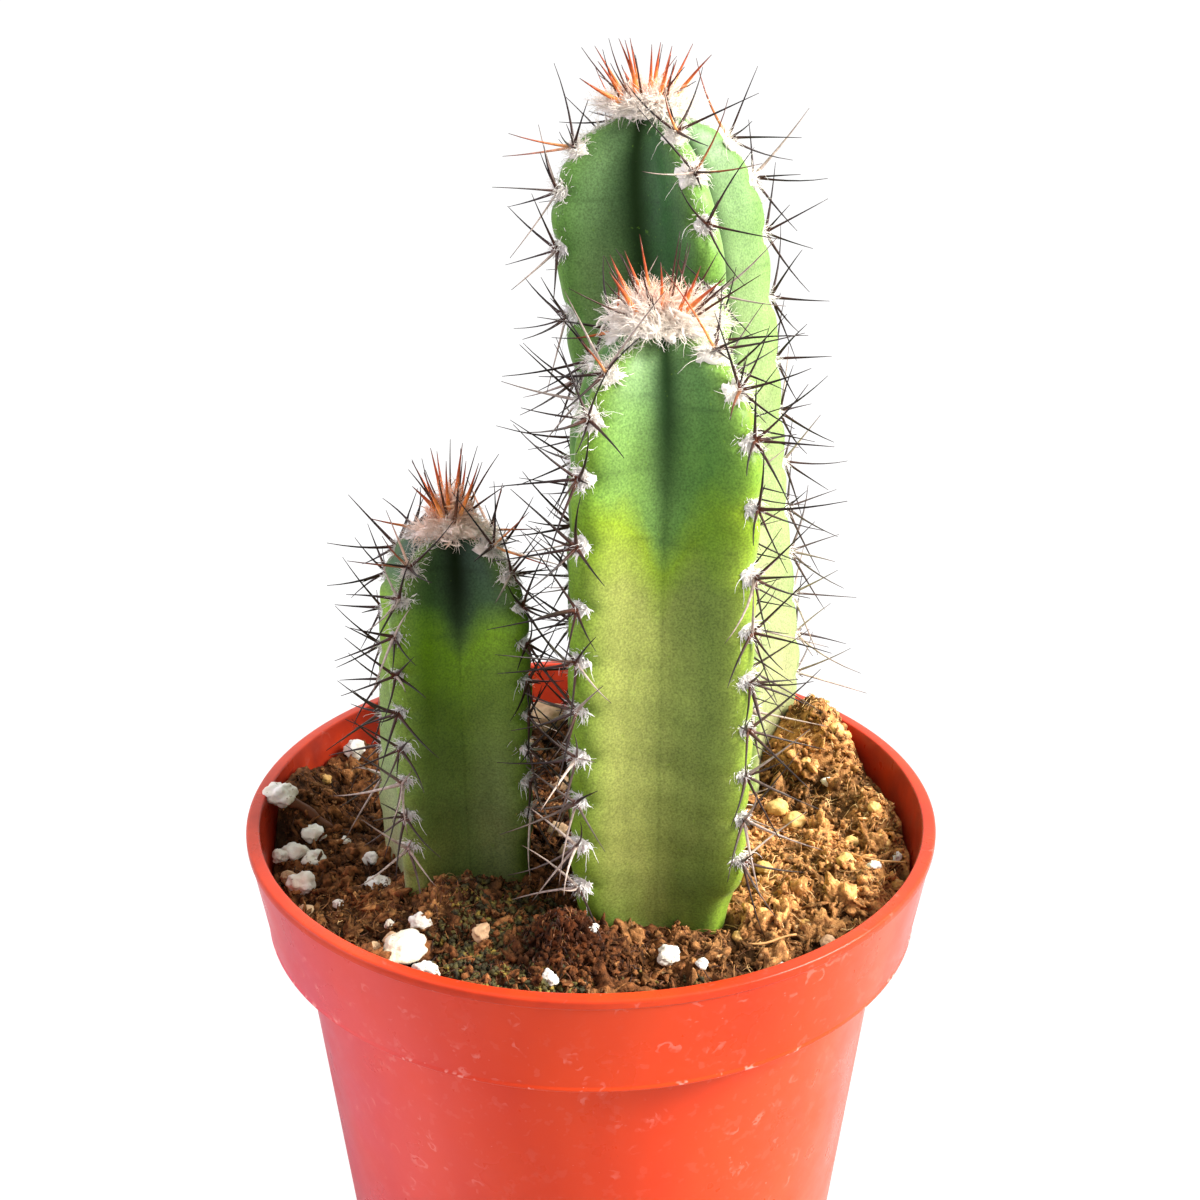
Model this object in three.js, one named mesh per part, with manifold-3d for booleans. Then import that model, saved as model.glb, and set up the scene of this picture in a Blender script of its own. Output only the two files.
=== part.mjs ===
// A potted columnar cactus: three ribbed stems of different heights in a round nursery pot.
// Millimetres, +Z up, the photograph's side faces -Y. The origin is the middle of the pot's
// flat underside. Needs the npm packages three and manifold-3d.
import * as THREE from "three";
import { mergeVertices } from "three/addons/utils/BufferGeometryUtils.js";
import Module from "manifold-3d";

const wasm = await Module();
wasm.setup();

// ---- Driving dimensions ----

const pot = {
  rimRadius: 60,         // outside, over the lip
  height: 105,
  lipWidth: 2.3,
  lipHeight: 1.4,
  lipRound: 0.4,
  lipProud: 0.3,         // lip beyond the collar
  collarHeight: 18.25,
  collarFootRadius: 57.15,
  bodyTopRadius: 52.15,
  bodyFootRadius: 43.3,
  wall: 1.5,
  floor: 2.2,
  footChamfer: 1.4,
  drainRadius: 3.5,
  drainCircle: 28,
  drainCount: 4,
  sides: 56,
};

const clearance = 0.3;   // between pieces that touch

const soil = {
  level: 96,             // usual height of the surface
  tilt: 0.016,           // it rises a little towards +X
  bump: 0.8,
  sides: 44,
  rings: 11,
  holeClearance: 0.8,    // round the stems
  stoneLeast: 0.82,      // each corner of a stone is drawn in or out between these shares
  stoneMost: 1.12,
  stoneFlatness: 0.8,
  stoneLift: 0.12,       // its middle above the surface, over its size
  heaps: [               // x, y, height, half width along x and y
    { x: 42, y: 30, height: 11, spreadX: 8, spreadY: 11 },
    { x: 24, y: 12, height: 3, spreadX: 10, spreadY: 8 },
    { x: -5, y: -37, height: 7, spreadX: 7, spreadY: 5.5 },
    { x: 14, y: -44, height: -3, spreadX: 14, spreadY: 8 },
    { x: -38, y: 22, height: -2, spreadX: 16, spreadY: 16 },
    { x: 40, y: -20, height: 2.5, spreadX: 12, spreadY: 16 },
  ],
  stones: [              // perlite and grit: x, y, size across
    { x: -30.5, y: -35, size: 6.6 },
    { x: -26.5, y: -38.5, size: 4.2 },
    { x: -50, y: -2.5, size: 5.2 },
    { x: -51.5, y: -8.5, size: 4.6 },
    { x: -46.5, y: -10, size: 4.4 },
    { x: -50.5, y: -15, size: 4.4 },
    { x: -39, y: -12, size: 4 },
    { x: -36, y: -18, size: 4 },
    { x: -38.5, y: 15, size: 4.4 },
    { x: -31.5, y: 24, size: 4 },
    { x: 11.5, y: -41.5, size: 4.2 },
    { x: 4, y: -46.5, size: 3.4 },
    { x: -9, y: 14, size: 6 },
    { x: 33, y: -14, size: 4.6 },
    { x: 44, y: 4, size: 4.2 },
    { x: 2, y: 48, size: 4.6 },
    { x: -22, y: 38, size: 4.2 },
  ],
};

// A stem leans from its foot to its tip. Heights are from the pot's underside, turns in degrees.
// `reach` is each rib's own share of the radius, the rounded top is `domeHeight` radii high.
const stems = {
  tall: {
    foot: [22.9, 29], tip: [9.6, 31], bow: 0.6, ground: 99, top: 218.9,
    radius: 19.5, reach: [0.99, 1, 1.02, 1], domeHeight: 1.15,
    footShare: 0.88, footLength: 20, turnFoot: -22.5, turnTip: -22.5,
    valleyFoot: 0.62, valleyTip: 0.5,
    firstAreole: 3.2, pitches: [7.2, 9.6, 12.2], spineScale: 1, seed: 100,
  },
  front: {
    foot: [9.9, -17.5], tip: [10.6, -18.5], bow: -0.2, ground: 93, top: 193.6,
    radius: 18.1, reach: [1.01, 1.03, 1, 0.92], domeHeight: 1.35,
    footShare: 0.83, footLength: 17, turnFoot: 4.5, turnTip: 4,
    valleyFoot: 0.64, valleyTip: 0.55,
    firstAreole: 3, pitches: [7.2, 8.3, 11.2], spineScale: 1, seed: 200,
  },
  small: {
    foot: [-23.6, -7], tip: [-22.4, -7], bow: -0.5, ground: 95, top: 158.2,
    radius: 15, reach: [0.99, 1, 1, 0.93], domeHeight: 1.2,
    footShare: 0.98, footLength: 10, turnFoot: 22, turnTip: 11,
    valleyFoot: 0.62, valleyTip: 0.54,
    firstAreole: 2.6, pitches: [5.7, 6.3, 6.9], spineScale: 0.8, seed: 300,
  },
};

const ribbing = {
  ribs: 4,
  plugFoot: 76,          // lowest point of every stem, in the soil
  plugShare: 0.4,        // its radius there, over the stem's radius
  plugDepth: 5,          // it begins to narrow this far below the ground
  plainTop: 88,          // no notches below this height
  notch: 1.4,            // depth of the notch that holds an areole
  shoulder: 0.35,        // swelling just under it
  domePower: 2.3,
  crestHalf: 5.5,        // half width of the crest, degrees
  crestShare: 0.985,     // radius at the crest's edges, over its middle
  flankAngle: 22,
  flankBase: 0.25,       // radius there, over the crest's: this, plus a share of the valley's
  flankSlope: 0.8,
  apexRadius: 4.5,       // flat spot under the crown
  rowShares: [0, 0.42],  // the rows of each step between areoles: notch, then shoulder
};

const areole = {
  woolRadius: 2.4,
  sunk: 1.3,
  proud: 1.6,
  core: 0.7,             // where the spines stand together
  spines: 5,
  groundGap: 3,          // no areole nearer the soil than this
};

const spine = {
  longest: 15.5,
  shortest: 9.5,
  droop: 0.25,           // how far the lowest ones hang, over their length
  lean: 64,              // usual angle off the areole's own direction, degrees
  centralLean: 24,
  stub: 2.2,             // where there is no room
  stemGap: 2.6,          // kept from the other stems
  spineGap: 1.3,         // kept from the other stems' spines
  soilGap: 2.6,
  potGap: 1.6,
};

const crowns = {
  tall: { radius: 6.9, height: 3.1, spines: 15, seed: 400 },
  front: { radius: 7, height: 3.4, spines: 15, seed: 500 },
  small: { radius: 5.2, height: 2.6, spines: 12, seed: 600 },
};

const crown = {
  sides: 12,
  youngLongest: 10.5,
  youngShortest: 5.5,
  youngHalfWidth: 0.6,
  youngLean: 50,
};

const colours = {
  pot: 0xc9492a,
  soil: 0x7a5233,
  tallStem: 0x4f7f3f,
  frontStem: 0x668f3a,
  smallStem: 0x47752f,
  crown: 0xdc9a72,
};

// ---- Small helpers ----

const radians = THREE.MathUtils.degToRad;
const clamp = THREE.MathUtils.clamp;
const mix = THREE.MathUtils.lerp;

function chance(number) {
  const wave = Math.sin(number * 12.9898 + 78.233) * 43758.5453;
  return wave - Math.floor(wave);
}

function between(low, high, number) {
  return mix(low, high, chance(number));
}

function ease(share) {
  const t = clamp(share, 0, 1);
  return t * t * (3 - 2 * t);
}

function solid(points, triangles) {
  const vertProperties = new Float32Array(points.flatMap((point) => [point.x, point.y, point.z]));
  const triVerts = new Uint32Array(triangles.flat());
  return new wasm.Manifold(new wasm.Mesh({ numProp: 3, vertProperties, triVerts }));
}

// The outer skin alone: a pocket sealed between fused pieces is filled.
function outerSkin(manifold) {
  const shells = manifold.decompose();
  return shells.reduce((most, shell) => (shell.volume() > most.volume() ? shell : most));
}

function geometryOf(manifold) {
  const mesh = manifold.getMesh();
  const geometry = new THREE.BufferGeometry();
  geometry.setAttribute("position", new THREE.BufferAttribute(mesh.vertProperties, 3));
  geometry.setIndex(new THREE.BufferAttribute(mesh.triVerts, 1));
  geometry.computeVertexNormals();
  return geometry;
}

function named(name, manifold, colour, roughness) {
  const material = new THREE.MeshStandardMaterial({ color: colour, roughness, metalness: 0 });
  const mesh = new THREE.Mesh(geometryOf(manifold), material);
  mesh.name = name;
  return mesh;
}

// Joins rings of equal count into one closed skin, with a point in the middle of each end.
function ringedSolid(rings, lowEnd, highEnd) {
  const count = rings[0].length;
  const points = rings.flat();
  const triangles = [];
  for (let row = 0; row < rings.length - 1; row += 1) {
    for (let column = 0; column < count; column += 1) {
      const next = (column + 1) % count;
      const a = row * count + column;
      const b = row * count + next;
      const c = a + count;
      const d = b + count;
      triangles.push([a, b, d], [a, d, c]);
    }
  }
  const low = points.push(lowEnd) - 1;
  const high = points.push(highEnd) - 1;
  const lastRow = (rings.length - 1) * count;
  for (let column = 0; column < count; column += 1) {
    const next = (column + 1) % count;
    triangles.push([low, next, column]);
    triangles.push([high, lastRow + column, lastRow + next]);
  }
  return solid(points, triangles);
}

// ---- Pot ----

const collarFoot = pot.height - pot.collarHeight;
const ledge = collarFoot + pot.wall; // the flat step inside, where the collar begins

function bodyInner(height) {
  const share = (height - pot.footChamfer) / (collarFoot - pot.footChamfer);
  return mix(pot.bodyFootRadius, pot.bodyTopRadius, share) - pot.wall;
}

function collarInner(height) {
  const share = (height - ledge) / (pot.height - ledge);
  return mix(pot.collarFootRadius - pot.wall, pot.rimRadius - pot.lipWidth, share);
}

function potProfile() {
  const lipFoot = pot.height - pot.lipHeight;
  return [
    [0, 0],
    [pot.bodyFootRadius - pot.footChamfer, 0],
    [pot.bodyFootRadius, pot.footChamfer],
    [pot.bodyTopRadius, collarFoot],
    [pot.collarFootRadius, collarFoot],
    [pot.rimRadius - pot.lipProud, lipFoot - pot.lipProud],
    [pot.rimRadius, lipFoot],
    [pot.rimRadius, pot.height - pot.lipRound],
    [pot.rimRadius - pot.lipRound, pot.height],
    [pot.rimRadius - pot.lipWidth, pot.height],
    [collarInner(ledge), ledge],
    [bodyInner(ledge), ledge],
    [bodyInner(pot.floor), pot.floor],
    [0, pot.floor],
  ].map(([radius, height]) => new THREE.Vector2(radius, height));
}

function lathed(profile, sides) {
  const ring = ({ x: radius, y: height }) => Array.from({ length: sides }, (unused, column) => {
    const angle = (2 * Math.PI * column) / sides;
    return new THREE.Vector3(radius * Math.cos(angle), radius * Math.sin(angle), height);
  });
  const rings = profile.slice(1, -1).map(ring);
  const first = new THREE.Vector3(0, 0, profile[0].y);
  const last = new THREE.Vector3(0, 0, profile[profile.length - 1].y);
  return ringedSolid(rings, first, last);
}

function makePot() {
  let body = lathed(potProfile(), pot.sides);
  const drain = [
    [0, -1],
    [pot.drainRadius, -1],
    [pot.drainRadius, pot.floor + 1],
    [0, pot.floor + 1],
  ].map(([radius, height]) => new THREE.Vector2(radius, height));
  for (let hole = 0; hole < pot.drainCount; hole += 1) {
    const angle = radians(45 + (360 * hole) / pot.drainCount);
    const place = [pot.drainCircle * Math.cos(angle), pot.drainCircle * Math.sin(angle), 0];
    body = body.subtract(lathed(drain, 12).translate(place));
  }
  return body;
}

// ---- Stems ----

function stemShare(stem, height) {
  return (height - stem.ground) / (stem.top - stem.ground);
}

function stemAxis(stem, height) {
  const share = Math.max(0, stemShare(stem, height));
  const bulge = 4 * share * (1 - share) * stem.bow;
  const x = mix(stem.foot[0], stem.tip[0], share) + bulge;
  const y = mix(stem.foot[1], stem.tip[1], share);
  return new THREE.Vector2(x, y);
}

function crestRadius(stem, height) {
  const dome = clamp((stem.top - height) / (stem.domeHeight * stem.radius), 0, 1);
  const cap = (1 - (1 - dome) ** ribbing.domePower) ** (1 / ribbing.domePower);
  const foot = mix(stem.footShare, 1, ease((height - stem.ground) / stem.footLength));
  const plugTop = stem.ground - ribbing.plugDepth;
  const buried = clamp((height - ribbing.plugFoot) / (plugTop - ribbing.plugFoot), 0, 1);
  return stem.radius * foot * cap * mix(ribbing.plugShare, 1, buried);
}

// The middle of rib number `rib`, as an angle from -Y towards +X.
function ribAngle(stem, rib, height) {
  const share = clamp(stemShare(stem, height), 0, 1);
  const step = 360 / ribbing.ribs;
  return radians(mix(stem.turnFoot, stem.turnTip, share) + (rib - 0.5) * step);
}

function valleyShare(stem, height) {
  return mix(stem.valleyFoot, stem.valleyTip, ease(stemShare(stem, height)));
}

// The section's radius over the crest's radius, at an angle off the nearest crest in degrees.
function sectionShare(stem, height, offset) {
  const valley = valleyShare(stem, height);
  const flank = ribbing.flankBase + ribbing.flankSlope * valley;
  const half = 180 / ribbing.ribs;
  const away = Math.abs(offset);
  if (away < ribbing.crestHalf) {
    return mix(1, ribbing.crestShare, away / ribbing.crestHalf);
  }
  if (away < ribbing.flankAngle) {
    const share = (away - ribbing.crestHalf) / (ribbing.flankAngle - ribbing.crestHalf);
    return mix(ribbing.crestShare, flank, share);
  }
  return mix(flank, valley, (away - ribbing.flankAngle) / (half - ribbing.flankAngle));
}

function stemRadius(stem, rib, offset, height) {
  const fading = 1 - Math.abs(offset) / (180 / ribbing.ribs);
  const reach = mix(1, stem.reach[rib], fading);
  return crestRadius(stem, height) * sectionShare(stem, height, offset) * reach;
}

function stemPoint(stem, rib, offset, height, grow) {
  const centre = stemAxis(stem, height);
  const angle = ribAngle(stem, rib, height) + radians(offset);
  const radius = stemRadius(stem, rib, offset, height) + grow;
  return new THREE.Vector3(
    centre.x + radius * Math.sin(angle),
    centre.y - radius * Math.cos(angle),
    height,
  );
}

const sectionOffsets = [
  -ribbing.flankAngle,
  -ribbing.crestHalf,
  ribbing.crestHalf,
  ribbing.flankAngle,
  180 / ribbing.ribs,
];

// Heights of the areoles of the odd ribs, from the top down. They crowd together at the tip,
// stand furthest apart just below it, and close up again towards the ground.
function areoleHeights(stem) {
  const [low, middle, wide] = stem.pitches;
  const heights = [];
  let height = stem.top - stem.firstAreole;
  while (height > ribbing.plainTop + low) {
    heights.push(height);
    const share = stemShare(stem, height);
    const near = Math.min(1, (stem.top - height) / (0.9 * stem.radius));
    const steady = mix(low, middle, clamp(share / 0.6, 0, 1));
    const stretch = (wide - middle) * Math.exp(-(((share - 0.8) / 0.11) ** 2));
    height -= (steady + stretch) * mix(0.45, 1, near);
  }
  return heights;
}

function halfwayHeights(heights) {
  return heights.slice(0, -1).map((height, index) => (height + heights[index + 1]) / 2);
}

function ribHeights(stem, rib) {
  const heights = areoleHeights(stem);
  return rib % 2 === 1 ? heights.slice(0, -1) : halfwayHeights(heights);
}

function rowHeight(heights, row) {
  const rows = ribbing.rowShares;
  const index = Math.floor(row / rows.length);
  const share = rows[row % rows.length];
  if (share === 0) {
    return heights[index];
  }
  return mix(heights[index], heights[index + 1], share);
}

// One ring of the section without notches.
function plainRing(stem, height, grow) {
  const ribs = Array.from({ length: ribbing.ribs }, (unused, rib) => rib);
  return ribs.flatMap((rib) => (
    sectionOffsets.map((offset) => stemPoint(stem, rib, offset, height, grow))
  ));
}

function stemBody(stem) {
  const half = 180 / ribbing.ribs;
  const odd = ribHeights(stem, 1);
  const even = ribHeights(stem, 0);
  const steps = ribbing.rowShares.length;
  const rowCount = (odd.length - 1) * steps + 1;
  const rings = [plainRing(stem, ribbing.plugFoot, 0)];
  for (let row = rowCount - 1; row >= 0; row -= 1) {
    const ring = [];
    const swell = row % steps === 0 ? -ribbing.notch : ribbing.shoulder;
    for (let rib = 0; rib < ribbing.ribs; rib += 1) {
      const own = rowHeight(rib % 2 === 1 ? odd : even, row);
      const other = rowHeight(rib % 2 === 1 ? even : odd, row);
      sectionOffsets.forEach((offset) => {
        const away = Math.abs(offset) / half;
        const onCrest = Math.abs(offset) <= ribbing.crestHalf;
        const grow = onCrest ? swell : swell * 0.2 * (1 - away);
        ring.push(stemPoint(stem, rib, offset, mix(own, other, away / 2), grow));
      });
    }
    rings.push(ring);
  }
  const centre = stemAxis(stem, stem.top);
  rings.push(rings[0].map((unused, column) => {
    const rib = Math.floor(column / sectionOffsets.length);
    const offset = sectionOffsets[column % sectionOffsets.length];
    const angle = ribAngle(stem, rib, stem.top) + radians(offset);
    const x = centre.x + ribbing.apexRadius * Math.sin(angle);
    const y = centre.y - ribbing.apexRadius * Math.cos(angle);
    return new THREE.Vector3(x, y, stem.top);
  }));
  const foot = stemAxis(stem, ribbing.plugFoot);
  return ringedSolid(
    rings,
    new THREE.Vector3(foot.x, foot.y, ribbing.plugFoot),
    new THREE.Vector3(centre.x, centre.y, stem.top),
  );
}

// ---- Soil surface, which the lowest spines have to clear ----

function soilHeight(x, y) {
  let height = soil.level + soil.tilt * x;
  soil.heaps.forEach((heap) => {
    const away = ((x - heap.x) / heap.spreadX) ** 2 + ((y - heap.y) / heap.spreadY) ** 2;
    height += heap.height * Math.exp(-away);
  });
  return height;
}

// ---- Areoles and spines ----

// Out, up and sideways at a point of a rib's crest, square to each other.
function crestFrame(stem, rib, height) {
  const reach = 0.4;
  const above = stemPoint(stem, rib, 0, Math.min(height + reach, stem.top - 0.05), 0);
  const below = stemPoint(stem, rib, 0, height - reach, 0);
  const up = above.clone().sub(below).normalize();
  const angle = ribAngle(stem, rib, height);
  const radial = new THREE.Vector3(Math.sin(angle), -Math.cos(angle), 0);
  const side = new THREE.Vector3().crossVectors(radial, up).normalize();
  const out = new THREE.Vector3().crossVectors(up, side).normalize();
  return { out, up, side };
}

function listAreoles(stem) {
  const list = [];
  for (let rib = 0; rib < ribbing.ribs; rib += 1) {
    ribHeights(stem, rib).slice(0, -1).forEach((height, index) => {
      const place = stemPoint(stem, rib, 0, height, -ribbing.notch);
      const ground = soilHeight(place.x, place.y);
      if (height - ground > areole.groundGap) {
        const seed = stem.seed + rib * 31 + index * 1.7;
        list.push({ stem, rib, height, place, seed, ...crestFrame(stem, rib, height) });
      }
    });
  }
  return list;
}

function pointInStem(stem, point, margin) {
  if (point.z > stem.top + margin) {
    return false;
  }
  const height = Math.min(point.z, stem.top - 0.5);
  const centre = stemAxis(stem, height);
  const dx = point.x - centre.x;
  const dy = point.y - centre.y;
  const turn = THREE.MathUtils.radToDeg(Math.atan2(dx, -dy) - ribAngle(stem, 0, height));
  const step = 360 / ribbing.ribs;
  const round = THREE.MathUtils.euclideanModulo(turn + step / 2, 360);
  const rib = Math.floor(round / step);
  const offset = round - step * (rib + 0.5);
  return Math.hypot(dx, dy) < stemRadius(stem, rib, offset, height) + margin;
}

function segmentGap(a, b) {
  let nearest = Infinity;
  const steps = 14;
  const line = new THREE.Line3(b.root, b.tip);
  const found = new THREE.Vector3();
  for (let step = 0; step <= steps; step += 1) {
    const point = a.root.clone().lerp(a.tip, step / steps);
    line.closestPointToPoint(point, true, found);
    nearest = Math.min(nearest, found.distanceTo(point));
  }
  return nearest;
}

function spineIsClear(candidate, stem, others) {
  const steps = 10;
  for (let step = 1; step <= steps; step += 1) {
    const point = candidate.root.clone().lerp(candidate.tip, step / steps);
    if (point.z < soilHeight(point.x, point.y) + spine.soilGap) {
      return false;
    }
    const aboveRim = point.z > pot.height + spine.potGap;
    if (!aboveRim && Math.hypot(point.x, point.y) > pot.rimRadius - pot.lipWidth - spine.potGap) {
      return false;
    }
    const blocked = Object.values(stems).some((other) => (
      other !== stem && pointInStem(other, point, spine.stemGap)
    ));
    if (blocked) {
      return false;
    }
  }
  return others.every((other) => segmentGap(candidate, other) > spine.spineGap);
}

function spineTowards(spot, lean, around, length) {
  const leanAngle = radians(lean);
  const aroundAngle = radians(around);
  const direction = spot.out.clone().multiplyScalar(Math.cos(leanAngle))
    .addScaledVector(spot.up, Math.sin(leanAngle) * Math.cos(aroundAngle))
    .addScaledVector(spot.side, Math.sin(leanAngle) * Math.sin(aroundAngle));
  direction.z -= spine.droop * clamp(1 - stemShare(spot.stem, spot.height) / 0.6, 0, 1);
  const root = spot.place.clone().addScaledVector(spot.out, areole.proud);
  return { root, tip: root.clone().addScaledVector(direction, length) };
}

// One spine of an areole: as it would grow, or else turned, then shortened, until it is clear.
function growSpine(spot, index, others) {
  const seed = spot.seed + index * 7.3;
  const sector = 360 / areole.spines;
  const central = index === Math.floor(chance(spot.seed) * areole.spines);
  const lean = (central ? spine.centralLean : spine.lean) + between(-9, 9, seed + 1);
  const around = sector * (index + 0.5) + between(-13, 13, seed + 2);
  const length = between(spine.shortest, spine.longest, seed + 3) * spot.stem.spineScale;
  const turns = [0, 18, -18];
  for (const share of [1, 0.8, 0.62]) {
    for (const less of [0, 0.3, 0.6]) {
      for (const turn of turns) {
        const turned = clamp(around + turn, sector * index + 4, sector * (index + 1) - 4);
        const candidate = spineTowards(spot, lean * (1 - less), turned, length * share);
        if (spineIsClear(candidate, spot.stem, others)) {
          return candidate;
        }
      }
    }
  }
  return spineTowards(spot, lean * 0.4, around, spine.stub);
}

// A woolly tuft sunk in the rib, with its spines drawn out of the small facets in its middle.
function areoleSolid(spot, spines) {
  const count = areole.spines;
  const onRing = (radius, depth, index) => {
    const angle = radians((360 * index) / count);
    return spot.place.clone()
      .addScaledVector(spot.out, depth)
      .addScaledVector(spot.up, radius * Math.cos(angle))
      .addScaledVector(spot.side, radius * Math.sin(angle));
  };
  const indices = Array.from({ length: count }, (unused, index) => index);
  const points = [
    ...indices.map((index) => onRing(areole.woolRadius, -areole.sunk, index)),
    ...indices.map((index) => onRing(areole.core, areole.proud, index)),
    onRing(0, -areole.sunk, 0),
    onRing(0, areole.proud, 0),
    ...spines.map((one) => one.tip),
  ];
  const low = 2 * count;
  const middle = low + 1;
  const triangles = [];
  indices.forEach((index) => {
    const next = (index + 1) % count;
    const tip = middle + 1 + index;
    const a = count + index;
    const b = count + next;
    triangles.push([low, next, index]);
    triangles.push([index, next, b], [index, b, a]);
    triangles.push([a, b, tip], [b, middle, tip], [middle, a, tip]);
  });
  return solid(points, triangles);
}

function growAllSpines(areoles) {
  const grown = [];
  areoles.forEach((spot) => {
    const others = grown.filter((one) => one.stem !== spot.stem);
    spot.spines = Array.from({ length: areole.spines }, (unused, index) => (
      growSpine(spot, index, others)
    ));
    spot.spines.forEach((one) => grown.push({ ...one, stem: spot.stem }));
  });
  return areoles;
}

function makeStem(stem, areoles) {
  let body = stemBody(stem);
  areoles.filter((spot) => spot.stem === stem).forEach((spot) => {
    body = body.add(areoleSolid(spot, spot.spines));
  });
  return outerSkin(body);
}

// ---- Crowns: cream wool with young orange spines, on the flat spot at each tip ----

function needle(root, tip, halfWidth) {
  const direction = tip.clone().sub(root).normalize();
  const helper = Math.abs(direction.x) < 0.8 ? new THREE.Vector3(1, 0, 0) : new THREE.Vector3(0, 1, 0);
  const across = new THREE.Vector3().crossVectors(direction, helper).normalize();
  const third = new THREE.Vector3().crossVectors(direction, across);
  const corners = [0, 120, 240].map((degrees) => root.clone()
    .addScaledVector(across, halfWidth * Math.cos(radians(degrees)))
    .addScaledVector(third, halfWidth * Math.sin(radians(degrees))));
  return solid([...corners, tip], [[0, 2, 1], [0, 1, 3], [1, 2, 3], [2, 0, 3]]);
}

function makeCrown(stem, size) {
  const centre = stemAxis(stem, stem.top);
  const base = stem.top + clearance;
  const ring = (radius, lift) => Array.from({ length: crown.sides }, (unused, column) => {
    const angle = (2 * Math.PI * column) / crown.sides;
    const wave = 1 + 0.06 * (chance(size.seed + column) - 0.5);
    const x = centre.x + radius * wave * Math.cos(angle);
    const y = centre.y + radius * wave * Math.sin(angle);
    return new THREE.Vector3(x, y, base + lift);
  });
  const wool = [
    ring(size.radius * 0.86, 0),
    ring(size.radius, size.height * 0.3),
    ring(size.radius * 0.8, size.height * 0.75),
    ring(size.radius * 0.42, size.height),
  ];
  let body = ringedSolid(
    wool,
    new THREE.Vector3(centre.x, centre.y, base),
    new THREE.Vector3(centre.x, centre.y, base + size.height),
  );
  for (let index = 0; index < size.spines; index += 1) {
    const seed = size.seed + index * 3.1;
    const share = Math.sqrt((index + 0.5) / size.spines);
    const angle = index * 2.4 + between(-0.2, 0.2, seed);
    const outward = new THREE.Vector3(Math.cos(angle), Math.sin(angle), 0);
    const root = new THREE.Vector3(centre.x, centre.y, base + size.height * 0.45)
      .addScaledVector(outward, size.radius * 0.62 * share);
    const lean = radians(crown.youngLean * share);
    const length = between(crown.youngShortest, crown.youngLongest, seed + 1) * (1.12 - 0.25 * share);
    const tip = root.clone()
      .addScaledVector(outward, length * Math.sin(lean))
      .add(new THREE.Vector3(0, 0, length * Math.cos(lean) + size.height * 0.55));
    body = body.add(needle(root, tip, crown.youngHalfWidth));
  }
  return body;
}

// ---- Soil ----

function stemHole(stem) {
  const plugTop = stem.ground - ribbing.plugDepth;
  const heights = [ribbing.plugFoot - clearance, (ribbing.plugFoot + plugTop) / 2, plugTop];
  for (let height = plugTop + 5; height < soil.level + 20; height += 5) {
    heights.push(height);
  }
  const rings = heights.map((height) => plainRing(stem, height, soil.holeClearance));
  const low = stemAxis(stem, heights[0]);
  const high = stemAxis(stem, heights[heights.length - 1]);
  return ringedSolid(
    rings,
    new THREE.Vector3(low.x, low.y, heights[0]),
    new THREE.Vector3(high.x, high.y, heights[heights.length - 1]),
  );
}

function bumpyHeight(x, y, seed) {
  const ripple = Math.sin(x * 0.55 + 1.3) * Math.cos(y * 0.6 + 0.4);
  return soilHeight(x, y) + soil.bump * (0.6 * ripple + chance(seed) - 0.5);
}

function soilBody() {
  const circle = (radius, height) => Array.from({ length: soil.sides }, (unused, column) => {
    const angle = (2 * Math.PI * column) / soil.sides;
    return new THREE.Vector3(radius * Math.cos(angle), radius * Math.sin(angle), height);
  });
  const rings = [
    circle(bodyInner(pot.floor) - clearance, pot.floor + clearance),
    circle(bodyInner(ledge) - clearance, ledge),
    circle(bodyInner(ledge) - clearance, ledge + clearance),
    circle(collarInner(ledge) - clearance, ledge + clearance),
  ];
  for (let ring = soil.rings; ring > 0; ring -= 1) {
    const edge = collarInner(soil.level) - 2 * clearance;
    const radius = (edge * ring) / soil.rings;
    rings.push(circle(radius, 0).map((point, column) => {
      const height = bumpyHeight(point.x, point.y, ring * 61 + column);
      return new THREE.Vector3(point.x, point.y, height);
    }));
  }
  return ringedSolid(
    rings,
    new THREE.Vector3(0, 0, pot.floor + clearance),
    new THREE.Vector3(0, 0, bumpyHeight(0, 0, 1)),
  );
}

function stoneSolid(stone, seed) {
  const raw = new THREE.IcosahedronGeometry(stone.size / 2, 0);
  raw.deleteAttribute("normal");
  raw.deleteAttribute("uv");
  const geometry = mergeVertices(raw);
  const position = geometry.getAttribute("position");
  const points = Array.from({ length: position.count }, (unused, index) => {
    const swell = between(soil.stoneLeast, soil.stoneMost, seed + index);
    const stretch = new THREE.Vector3(swell, swell, swell * soil.stoneFlatness);
    return new THREE.Vector3().fromBufferAttribute(position, index).multiply(stretch);
  });
  const corners = Array.from(geometry.index.array);
  const triangles = [];
  for (let start = 0; start < corners.length; start += 3) {
    triangles.push(corners.slice(start, start + 3));
  }
  const lift = soilHeight(stone.x, stone.y) + stone.size * soil.stoneLift;
  return solid(points, triangles).translate([stone.x, stone.y, lift]);
}

function makeSoil() {
  let body = soilBody();
  soil.stones.forEach((stone, index) => {
    body = body.add(stoneSolid(stone, 700 + index * 13));
  });
  Object.values(stems).forEach((stem) => {
    body = body.subtract(stemHole(stem));
  });
  return body;
}

// ---- The assembly ----

const areoles = growAllSpines(Object.values(stems).flatMap(listAreoles));

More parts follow.
